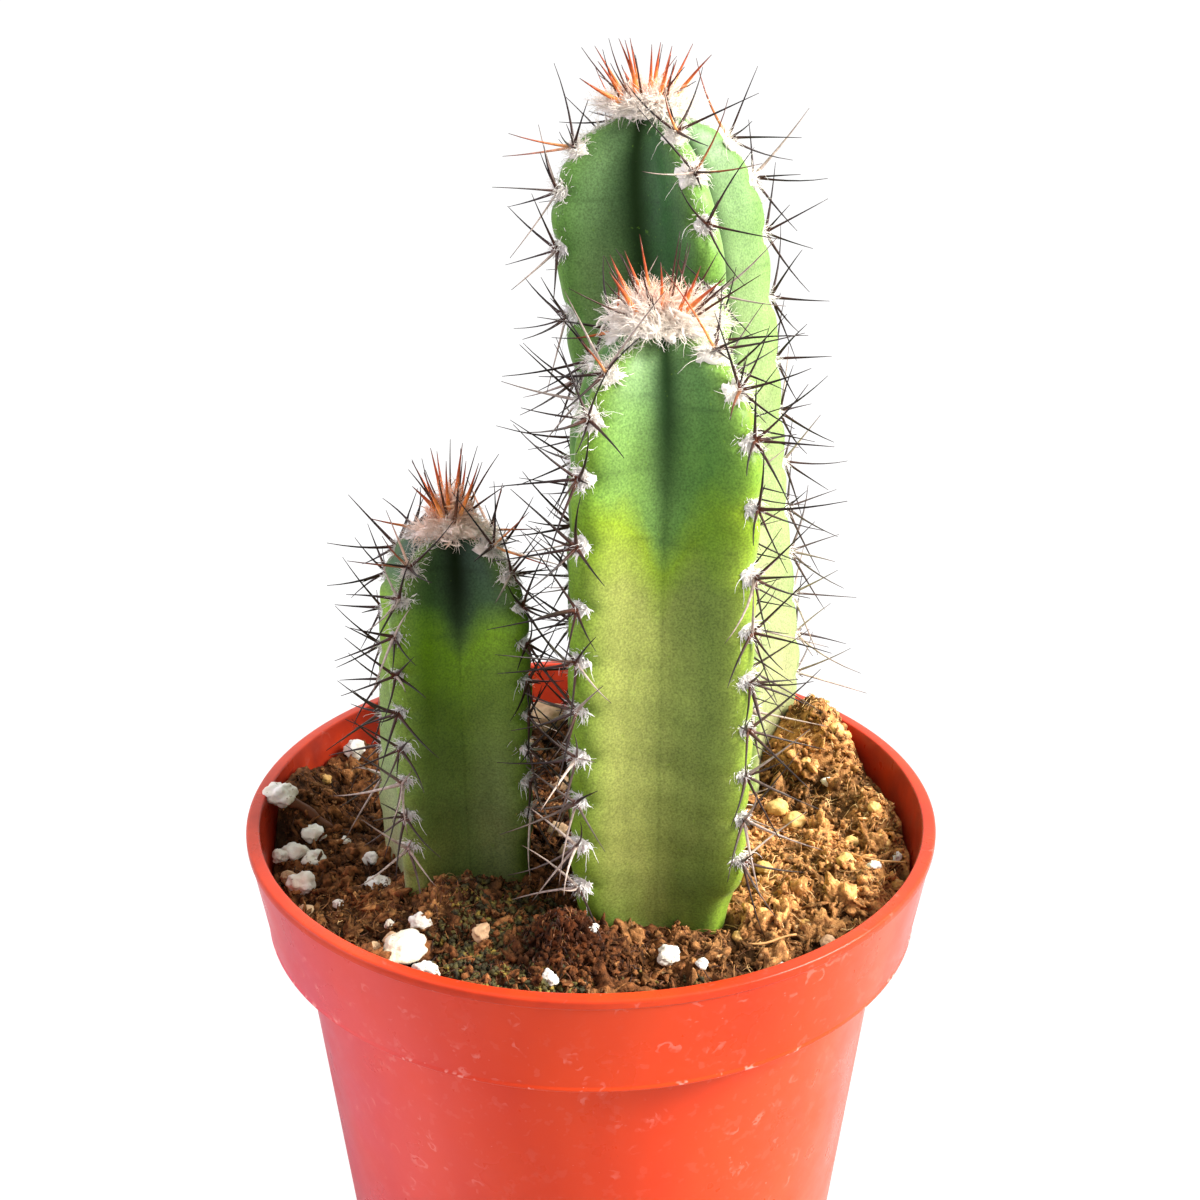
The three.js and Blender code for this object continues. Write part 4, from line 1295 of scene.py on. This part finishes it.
# a mound with thick locks and fine hairs
def makeCrownWool(name, stem, size):
    x, y = stemAxis(stem, stem["top"])
    width = size["radius"] * 0.9
    axes = (np.array([0, 0, 1.0]), np.array([1.0, 0, 0]), np.array([0, 1.0, 0]))
    widths = np.array([2.9, width, width])
    mound = moundMesh(np.array([x, y, stem["top"]]), axes, widths, size["seed"] + 0.5, 22, 72, 0.45)
    paths = crownHairs(stem, size, crownLocks, size["seed"] * 2.7, 1.6, 4.0)
    locks = hairMesh(paths, between(0.16, 0.34, size["seed"] + np.arange(crownLocks) * 1.7), 5, 0.9)
    paths = crownHairs(stem, size, size["hairs"], size["seed"] * 1.9, 1.4, size["longest"])
    hairs = hairMesh(paths, between(0.04, 0.075, size["seed"] + np.arange(size["hairs"])))
    shape = joinMeshes([mound, locks, hairs])
    away = np.hypot(shape[0][:, 0] - x, shape[0][:, 1] - y) / size["radius"]
    height = (shape[0][:, 2] - stem["top"]) / size["mound"]
    blush = np.exp(-(away / size["blushWidth"]) ** 2) * ease(height * size["blushDepth"])
    shades = {"blush": np.clip(blush * size["blushDepth"], size["leastBlush"], 1)}
    makePiece(name + "CrownWool", shape, crownWoolLook, name + "_crown", shades)


# most of the frame's own are orange and thick, most of the others dark and thin
def makeYoungSpines(name, stem, size):
    pairs = crownPairs(stem, size)
    seeds = size["seed"] + np.arange(len(pairs)) * 1.9
    orange = chance(seeds + 2) > mix(0.85, 0.36, np.arange(len(pairs)) < size["spines"])
    thick = np.where(orange, young["thick"], young["thin"])
    shape, along = spineMesh(pairs, seeds, thick, 0.03, 1.1)
    shades = {"along": along, "age": 0 * along, "youth": perPoint(np.where(orange, 1.0, 0.08))}
    makePiece(name + "YoungSpines", shape, spineLook, name + "_crown", shades)


crownWoolLook = crownWoolMaterial()
for name, stem in stems.items():
    makeCrownWool(name, stem, crowns[name])
    makeYoungSpines(name, stem, crowns[name])
print("crowns made")


# soil

soilMix = {
    "rings": 140,
    "columns": 460,
    "edgeGap": 0.5,
    "extraHeaps": [
        (-55, 14, 9, 7, 13), (-47, 30, 5.5, 8, 8), (-10, 42, 2, 12, 9), (20, -38, 1.5, 6, 5),
        (1.5, -37, 3, 4.5, 5), (-19, -24, 7.5, 10, 6), (46, 22, 4, 8, 12), (42, 31, 1, 7, 8),
        (53, 8, 3, 6, 14), (-57, 3, 3.5, 6, 8),
    ],
    "damp": (-3.0, -38.0, 10.0, 7.0),  # the dark clump at the front: x, y and its spread
    "slump": (0.8, 2.0),  # how far the soil falls away at the wall, left and right
    "foot": 2.6,  # just above the pot's floor
}

# count, smallest and largest size, rounds of subdivision, how flat and how far sunk
lumps = {
    "soilClods": {"count": 95, "low": 3.0, "high": 8.0, "detail": 4, "flat": (1, 0.85, 0.6), "sunk": 0.2},
    "soilCrumbs": {"count": 560, "low": 1.4, "high": 3.6, "detail": 3, "flat": (1, 0.8, 0.65), "sunk": 0.05},
    "soilGrains": {"count": 2400, "low": 0.6, "high": 1.6, "detail": 2, "flat": (1, 0.8, 0.7), "sunk": 0.0},
    "soilDust": {"count": 2400, "low": 0.45, "high": 1.2, "detail": 2, "flat": (1, 0.8, 0.7), "sunk": -0.2},
    "barkChips": {"count": 1300, "low": 1.4, "high": 4.2, "detail": 2, "flat": (1, 0.42, 0.2), "sunk": -0.1},
}

soilHeaps = ground["heaps"] + soilMix["extraHeaps"]


def fractal(points, size, octaves, seed, decay=0.9):
    shift = Vector((seed, seed * 0.7, seed * 1.3))
    return np.array([noise.fractal(Vector(point) / size + shift, decay, 2.0, octaves) for point in points])


# lumps and hollows of the bed, then its height with the heaps and the fall towards the wall
def bedRelief(x, y):
    flat = np.stack([x, y, 0 * x], -1).reshape(-1, 3)
    relief = 1.75 * fractal(flat, 9.0, 4, 1.0) + 0.75 * fractal(flat, 2.4, 5, 5.0, 0.6)
    return relief.reshape(np.shape(x))


def bedHeight(x, y, relief):
    radius = np.hypot(x, y)
    side = ease(0.5 + 0.5 * np.cos(np.arctan2(y, x) - 0.3))
    slump = ease((radius - collarInner(ground["level"]) + 5.5) / 5) * mix(*soilMix["slump"], side)
    return groundHeight(x, y, soilHeaps) + relief - slump


def soilTone(x, y):
    crumbly = 0.45 * np.exp(-((x + 41) / 9) ** 2 - ((y + 23) / 8) ** 2)
    crumbly = crumbly + 0.35 * np.exp(-((x + 25) / 7) ** 2 - ((y + 26) / 4.5) ** 2)
    return ease((x - 4) / 28) * ease((y + 50) / 22) + crumbly


def soilDamp(x, y):
    middleX, middleY, spreadX, spreadY = soilMix["damp"]
    return np.exp(-(((x - middleX) / spreadX) ** 2 + ((y - middleY) / spreadY) ** 2) ** 1.5)


def soilMesh():
    edge = collarInner(ground["level"]) - soilMix["edgeGap"]
    radius = np.linspace(edge, edge / soilMix["rings"], soilMix["rings"])[:, None]
    angle = (np.arange(soilMix["columns"]) * 2 * math.pi / soilMix["columns"])[None, :]
    x = radius * np.cos(angle)
    y = radius * np.sin(angle)
    relief = bedRelief(x, y)
    height = bedHeight(x, y, relief)
    top = np.stack([x, y, height], -1)
    foot = soilMix["foot"]
    shelf = bodyInner(ledge) - 0.4
    sides = [
        (bodyInner(2.5) - 0.4, foot), (shelf, ledge - 0.5), (shelf, ledge + 0.4),
        (collarInner(ledge) - 0.4, ledge + 0.4),
    ]
    turn = angle[0]
    rings = [
        np.stack([wide * np.cos(turn), wide * np.sin(turn), 0 * turn + high], -1) for wide, high in sides
    ]
    ends = [(0, 0, foot), (0, 0, height[-1].mean())]
    points = np.concatenate([np.array(rings).reshape(-1, 3), top.reshape(-1, 3), ends])
    # painted light and shade: lit follows the relief, dark in hollows and light on humps
    lit = np.clip(0.42 + 0.5 * relief, 0, 1)
    shades = {
        "tone": soilTone(points[:, 0], points[:, 1]) * 0.8,
        "damp": soilDamp(points[:, 0], points[:, 1]),
        "lit": np.concatenate([np.zeros(len(sides) * soilMix["columns"]), lit.ravel(), [0, 0.5]]),
    }
    return (points, ringFaces(soilMix["rings"] + len(sides), soilMix["columns"])), shades


# rough shapes that lumps and stones are turned and scaled from, with how far out each point lies
def lumpShapes(detail, count, size, roughness, seed, decay=0.6):
    shell = bmesh.new()
    bmesh.ops.create_icosphere(shell, subdivisions=detail, radius=0.5)
    shell.verts.ensure_lookup_table()
    base = np.array([vert.co[:] for vert in shell.verts])
    faces = np.array([[vert.index for vert in face.verts] for face in shell.faces])
    shell.free()
    shapes = []
    for index in range(count):
        values = fractal(base, size, 4, seed + index * 3.1, decay)
        shapes.append((base * (1 + roughness * values)[:, None], np.clip(0.5 + 1.6 * values, 0, 1)))
    return shapes, faces


def randomTurn(generator):
    turn = generator.normal(size=4)
    w, x, y, z = turn / np.linalg.norm(turn)
    return np.array([
        [1 - 2 * (y * y + z * z), 2 * (x * y - z * w), 2 * (x * z + y * w)],
        [2 * (x * y + z * w), 1 - 2 * (x * x + z * z), 2 * (y * z - x * w)],
        [2 * (x * z - y * w), 2 * (y * z + x * w), 1 - 2 * (x * x + y * y)],
    ])


def openGround(x, y, size, margin=0.3):
    mouth = collarInner(ground["level"]) - 0.8 - size * 0.5
    if math.hypot(x, y) > mouth:
        return False
    point = np.array([[x, y, groundHeight(x, y, soilHeaps) + 0.5]])
    return not any(insideStem(stem, point, margin - size * 0.2)[0] for stem in stems.values())


def freeSpot(generator, size, patch=None):
    while True:
        if patch:
            x, y = generator.normal(patch[0], patch[2]), generator.normal(patch[1], patch[3])
        else:
            x, y = generator.uniform(-56, 56, 2)
        if openGround(x, y, size):
            return x, y


def scatterLumps(name, kind, material, seed, roughness=0.9, patch=None):
    generator = np.random.default_rng(int(seed * 10))
    shapes, faces = lumpShapes(kind["detail"], 16, 0.4, roughness, seed)
    sizes = mix(kind["low"], kind["high"], generator.uniform(size=kind["count"]) ** 1.8)
    spotsOn = np.array([freeSpot(generator, size, patch) for size in sizes])
    x, y = spotsOn.T
    hollows = bedRelief(x, y)
    heights = bedHeight(x, y, hollows)
    # painted light and shade: each crumb darker in its dents and deeper in a crack
    exposed = np.clip(0.9 + 0.5 * hollows, 0.3, 1.3)  # crumbs deep in a crack are darker
    parts = []
    tones = []
    lit = []
    for index, size in enumerate(sizes):
        shape, relief = shapes[index % len(shapes)]
        shape = (shape * size * np.array(kind["flat"])) @ randomTurn(generator).T
        centre = np.array([x[index], y[index], heights[index] - size * kind["sunk"] + 0.1])
        parts.append((shape + centre, [faces]))
        tones.append(np.full(len(shape), soilTone(x[index], y[index]) + generator.normal() * 0.2))
        lit.append(relief * generator.uniform(0.65, 1.25) * exposed[index])
    points, allFaces = joinMeshes(parts)
    damp = soilDamp(points[:, 0], points[:, 1])
    shades = {"tone": np.clip(np.concatenate(tones), 0, 1), "lit": np.concatenate(lit), "damp": damp}
    makePiece(name, (points, allFaces), material, "soil", shades)


def soilMaterial():
    look = {
        "sand": (0.2, 0.08, 0.026),
        "dark": (0.045, 0.016, 0.006),
        "brown": (0.24, 0.09, 0.03),
        "gold": (0.66, 0.33, 0.115),
        "straw": (0.86, 0.57, 0.28),
        "damp": (0.014, 0.004, 0.0015),
        "dampEdge": (0.085, 0.022, 0.005),
    }
    material, tree, shader = newMaterial("peatAndCoir", 0.92, 0.12)
    tone = shade(tree, "tone")
    damp = shade(tree, "damp")
    mottle = patchy(tree, 0.0, 1.0, 1.2, 5.0)
    left = blend(tree, mottle, look["dark"], look["brown"])
    right = blend(tree, mottle, look["sand"], look["gold"])
    wet = blend(tree, mottle, look["damp"], look["dampEdge"])
    colour = blend(tree, damp, blend(tree, tone, left, right), wet)
    bright = maths(tree, "ADD", times(tree, tone, 0.75), 0.15)
    bright = times(tree, bright, maths(tree, "SUBTRACT", 1.0, damp))
    colour = mark(tree, colour, spots(tree, 1.1, 0.34, 0.05), bright, look["straw"])
    # painted light and shade: the colour is darkened in hollows and lifted on humps
    light = add(tree, "ShaderNodeMapRange", {0: shade(tree, "lit"), 3: 0.16, 4: 1.5}).outputs[0]
    colour = dim(tree, colour, light)
    wire(tree, shader, colour, patchy(tree, 0.7, 1.0, 0.8), grain(tree, 0.4, 6.0), 0.4, 1.0)
    return material


clump = {"count": 620, "low": 0.8, "high": 2.8, "detail": 2, "flat": (1, 0.7, 0.5), "sunk": -0.1}
clumpPatch = (-2.0, -37.5, 4.6, 3.6)  # x and y of its middle, and its spread along each
soilLook = soilMaterial()
shape, shades = soilMesh()
makePiece("soilBed", shape, soilLook, "soil", shades)
for index, (name, kind) in enumerate(lumps.items()):
    scatterLumps(name, kind, soilLook, 21.0 + 10 * index)
scatterLumps("clumpCrumbs", clump, soilLook, 87.0, 1.0, clumpPatch)
print("soil crumbled")


# grit: perlite, a few tan stones and golden vermiculite, where the photograph shows them

# each kind's rough edges, its material with its roughness, and its stones: x, y, size across, length over
# width, heading in degrees, how far up it sits
grit = {
    "perliteGrains": {
        "seed": 61, "edges": 0.42, "material": "perlite", "roughness": 0.8,
        "pale": (0.82, 0.81, 0.78), "dusty": (0.7, 0.64, 0.52), "dirt": (0.2, 0.13, 0.08),
        "stones": [
            (-55.6, 2.5, 5.0, 1.0, 0, 0.6), (-49.8, -0.1, 4.0, 1.2, 30, 0.25),
            (-52.1, -5.1, 3.7, 1.1, 0, 0.25), (-54.6, -6.2, 3.0, 1, 0, 0.25), (-48.7, -6, 3.8, 1, 0, 0.25),
            (-49.5, -14.1, 4.3, 1.1, 40, 0.25), (-38.7, -5.2, 2.6, 1, 0, 0.2),
            (-36.1, -14.1, 3.8, 1.2, 0, 0.2), (-27.7, -28.8, 3.1, 1.1, 0, 0.25),
            (-25.6, -40.0, 3.6, 1.4, -20, 0.25), (-45.7, 26.8, 4.4, 1, 0, 0.3),
            (-6.2, -44.6, 2.6, 1.1, 90, 0.35), (12.3, -36.8, 3.2, 1.2, 0, 0.5),
            (0.5, -37.5, 1.8, 1, 0, 0.5), (3.6, -30.1, 1.6, 1, 0, 0.3), (48, -14, 2.2, 1, 0, 0.2),
            (-30, 38, 4.0, 1, 0, 0.3), (-12, 50, 3.2, 1.2, 0, 0.3), (8, 49, 3, 1, 0, 0.3),
            (-20, 24, 3.2, 1, 0, 0.3), (44, 14, 2.4, 1, 0, 0.2), (53, -8, 2.2, 1, 0, 0.2),
            (30, -40, 2.2, 1, 0, 0.2), (-3, 12, 3, 1, 0, 0.3), (-42.5, -19, 1.8, 1, 0, 0.2),
            (-33, -27, 1.6, 1, 0, 0.2), (17.6, -38.6, 1.8, 1, 0, 0.4), (-44, 0, 1.8, 1, 0, 0.2),
        ],
    },
    "creamStones": {
        "seed": 65, "edges": 0.3, "material": "creamStone", "roughness": 0.6,
        "pale": (0.82, 0.79, 0.66), "dusty": (0.74, 0.66, 0.48), "dirt": (0.3, 0.22, 0.13),
        "stones": [
            (-29.6, -34.4, 5.6, 1.45, 48, 0.42), (-32.6, -38.2, 2.6, 1.2, 30, 0.3),
        ],
    },
    "tanStones": {
        "seed": 71, "edges": 0.35, "material": "tanStone", "roughness": 0.7,
        "pale": (0.62, 0.43, 0.25), "dusty": (0.5, 0.3, 0.17), "dirt": (0.14, 0.07, 0.03),
        "stones": [
            (-52.4, -10.6, 2.6, 1, 0, 0.2), (-35.2, -33.2, 3.2, 1.2, 20, 0.2),
            (-32.3, -30.4, 2.6, 1, 0, 0.2), (-47.9, -20.8, 2.6, 1, 0, 0.2),
            (-17.5, -31.5, 3.0, 1.2, 60, 0.35), (-9.7, 45, 7, 1.2, 0, 0.25), (-36, 39, 4.4, 1.2, 0, 0.3),
            (-13, 33, 4, 1, 0, 0.3), (-6, 20, 3.4, 1, 0, 0.3), (38, -34, 2.8, 1, 0, 0.2),
            (-6, 4, 3.4, 1.1, 0, 0.3), (-4, -4, 3.0, 1.1, 0, 0.3),
        ],
    },
    "goldGrains": {
        "seed": 81, "edges": 0.25, "material": "vermiculite", "roughness": 0.5,
        "pale": (0.72, 0.48, 0.17), "dusty": (0.55, 0.3, 0.08), "dirt": (0.25, 0.12, 0.04),
        "stones": [
            (33.8, 6.6, 3.8, 1.1, 0, 0.25), (36.8, 4.4, 3.8, 1.1, 40, 0.25), (51, -4.5, 3.2, 1.1, 0, 0.2),
            (43.9, -11.3, 3.2, 1, 0, 0.2), (29.8, -12, 2.8, 1.1, 0, 0.2), (46, -3, 2.6, 1, 0, 0.15),
            (40, -20, 2.4, 1, 0, 0.15), (35, -28, 2.2, 1, 0, 0.15), (51, 4, 2.4, 1, 0, 0.15),
            (40, 18, 2.4, 1, 0, 0.15), (46, 22, 2.8, 1.1, 0, 0.15), (24, -30, 2.0, 1, 0, 0.2),
            (30, 48, 2.6, 1, 0, 0.2), (-50, 18, 2.2, 1, 0, 0.2), (-24, -46, 2.0, 1, 0, 0.2),
            (52, -16, 2.4, 1, 0, 0.2),
        ],
    },
}


def stoneMaterial(kind):
    material, tree, shader = newMaterial(kind["material"], kind["roughness"], 0.3)
    colour = blend(tree, patchy(tree, 0, 1, 2.6), kind["pale"], kind["dusty"])
    colour = mark(tree, colour, spots(tree, 0.9, 0.34, 0.06), 0.75, kind["dirt"])
    wire(tree, shader, colour, None, grain(tree, 0.5, 5.0), 0.2, 0.8)
    return material


def scatterStones(name, kind):
    generator = np.random.default_rng(kind["seed"])
    shapes, faces = lumpShapes(4, 8, 0.5, kind["edges"], kind["seed"], 0.9)
    parts = []
    for index, (x, y, size, stretch, heading, lift) in enumerate(kind["stones"]):
        shape = (shapes[index % len(shapes)][0] @ randomTurn(generator).T) * size
        shape = shape * np.array([stretch, 1, 0.85])
        turn = math.radians(heading)
        shape = np.stack([
            shape[:, 0] * math.cos(turn) - shape[:, 1] * math.sin(turn),
            shape[:, 0] * math.sin(turn) + shape[:, 1] * math.cos(turn),
            shape[:, 2],
        ], -1)
        place = np.array([x, y])
        height = bedHeight(*place, float(bedRelief(*place)))
        parts.append((shape + np.array([x, y, height + size * lift]), [faces]))
    makePiece(name, joinMeshes(parts), stoneMaterial(kind), "soil")


for name, kind in grit.items():
    scatterStones(name, kind)
print("grit laid")


# coir fibres and twigs lying on the soil, and moss in front of the small stem

fibres = {
    "count": 2600, "clump": 420, "clumpPatch": (-3.0, -38.0, 4.2, 3.2),
    "low": 2.0, "high": 7.0, "thin": 0.05, "thick": 0.12,
    "taper": (0.7, 1, 1, 1, 0.9, 0.7, 0.35),
    "farthest": 55.0,  # from the pot's axis
}


def fibreMaterial():
    material, tree, shader = newMaterial("coirFibre", 0.6, 0.35)
    stops = [
        (0.0, (0.03, 0.01, 0.005)), (0.35, (0.13, 0.042, 0.014)),
        (0.7, (0.42, 0.19, 0.055)), (1.0, (0.8, 0.54, 0.24)),
    ]
    wire(tree, shader, ramp(tree, shade(tree, "tone"), stops), None, grain(tree, 0.4), 0.04, 0.5)
    return material


def layFibres():
    generator = np.random.default_rng(91)
    steps = len(fibres["taper"])
    paths = []
    radii = []
    tones = []
    for index in range(fibres["count"] + fibres["clump"]):
        onClump = index >= fibres["count"]
        if onClump:
            x, y = freeSpot(generator, 1.0, fibres["clumpPatch"])
        else:
            x, y = freeSpot(generator, 2.0)
        heading = generator.uniform(0, 2 * math.pi)
        length = mix(fibres["low"], fibres["high"], generator.uniform() ** 1.5) * (0.7 if onClump else 1)
        bend = generator.normal(0, 0.42 if onClump else 0.2)
        rise = generator.uniform(0.1, 0.8) if onClump else generator.uniform(0.0, 0.45)
        wave = generator.uniform(0, 6)
        path = []
        for step in range(steps):
            lift = 0.25 + rise * (1 + math.sin(step * 1.1 + wave))
            path.append((x, y, lift))
            heading += bend
            nextX = x + math.cos(heading) * length / steps
            nextY = y + math.sin(heading) * length / steps
            if math.hypot(nextX, nextY) < fibres["farthest"]:
                x, y = nextX, nextY
        paths.append(path)
        thick = generator.uniform(fibres["thin"], fibres["thick"])
        radii.append(thick * np.array(fibres["taper"]))
        level = 0.18 if onClump else 0.2 + 0.6 * soilTone(path[0][0], path[0][1])
        tones.append(np.full(steps * 3, np.clip(level + generator.normal() * 0.2, 0, 1)))
    paths = np.array(paths)
    x, y = paths[:, :, 0], paths[:, :, 1]
    paths[:, :, 2] += bedHeight(x, y, bedRelief(x, y))
    shades = {"tone": np.concatenate(tones)}
    makePiece("coirFibres", tubeMesh(paths, np.array(radii), 3), fibreLook, "soil", shades)


twigs = [  # start, end, lift at start and end, radius, tone
    ((-54.5, 2.5), (-46.5, 4.0), 0.9, 0.5, 0.95, 0.3),
    ((33, -33.5), (25, -35), 1.2, 1.6, 0.2, 0.75),
    ((54, -12.5), (45, -11), 1.4, 1.6, 0.2, 0.8),
]
twigTaper = (0.8, 1, 1, 1, 1, 1, 0.95, 0.9, 0.6)
twigSides = 8


def layTwigs():
    paths = []
    radii = []
    tones = []
    for index, (start, end, liftStart, liftEnd, thick, tone) in enumerate(twigs):
        shares = np.linspace(0, 1, len(twigTaper))
        flat = np.array(start) + (np.array(end) - np.array(start)) * shares[:, None]
        flat[:, 1] += 0.5 * np.sin(shares * 5 + index)
        lift = mix(liftStart, liftEnd, shares)
        paths.append(np.column_stack([flat, groundHeight(flat[:, 0], flat[:, 1], soilHeaps) + lift]))
        radii.append(thick * (1 + 0.15 * np.sin(shares * 17 + index)) * np.array(twigTaper))
        tones.append(np.full(len(twigTaper) * twigSides, tone))
    shape = tubeMesh(np.array(paths), np.array(radii), twigSides)
    makePiece("twigs", shape, fibreLook, "soil", {"tone": np.concatenate(tones)})


# moss: dark granules with olive and golden specks among them
moss = {"low": 0.35, "high": 1.1, "detail": 2, "flat": (1, 0.9, 0.8), "sunk": -0.3}
mossPatches = [  # count, then where: x and y of the middle, and the spread along each
    (1900, (-14.5, -34.5, 5.2, 6.0)), (420, (-4.5, -45.5, 5.5, 1.8)), (420, (13.5, -44.5, 5.0, 2.0)),
]


def mossMaterial():
    stops = [
        (0.3, (0.016, 0.013, 0.006)), (0.46, (0.045, 0.038, 0.012)), (0.58, (0.11, 0.09, 0.02)),
        (0.66, (0.3, 0.2, 0.03)), (0.75, (0.75, 0.56, 0.12)),
    ]
    material, tree, shader = newMaterial("moss", 0.75, 0.3)
    wire(tree, shader, ramp(tree, grain(tree, 1.8, 6.0), stops), None, grain(tree, 0.4, 4.0), 0.2, 0.8)
    return material


def growMoss():
    mossLook = mossMaterial()
    for index, (count, patch) in enumerate(mossPatches):
        kind = {**moss, "count": count}
        scatterLumps("moss" + str(index + 1), kind, mossLook, 101.0 + 4 * index, 0.9, patch)


fibreLook = fibreMaterial()
layFibres()
layTwigs()
growMoss()
print("fibres, twigs and moss laid")


# the plain floor

def makeFloor():
    material, tree, shader = newMaterial("paleFloor", 0.7, 0.1)
    shader.inputs["Base Color"].default_value = (*room["floorTint"], 1)
    paper = add(tree, "ShaderNodeEmission", {"Strength": room["paperGlow"]})
    seen = add(tree, "ShaderNodeLightPath").outputs["Is Camera Ray"]
    share = times(tree, seen, room["paper"])
    mixed = add(tree, "ShaderNodeMixShader", {0: share, 1: shader.outputs[0], 2: paper.outputs[0]})
    tree.links.new(mixed.outputs[0], tree.nodes["Material Output"].inputs["Surface"])
    half = room["floorWidth"] / 2
    corners = [(-half, -half, 0), (half, -half, 0), (half, half, 0), (-half, half, 0)]
    mesh = bpy.data.meshes.new("paleFloor")
    mesh.from_pydata(corners, [], [(0, 1, 2, 3)])
    mesh.materials.append(material)
    floor = bpy.data.objects.new("paleFloor", mesh)
    bpy.context.collection.objects.link(floor)


makeFloor()
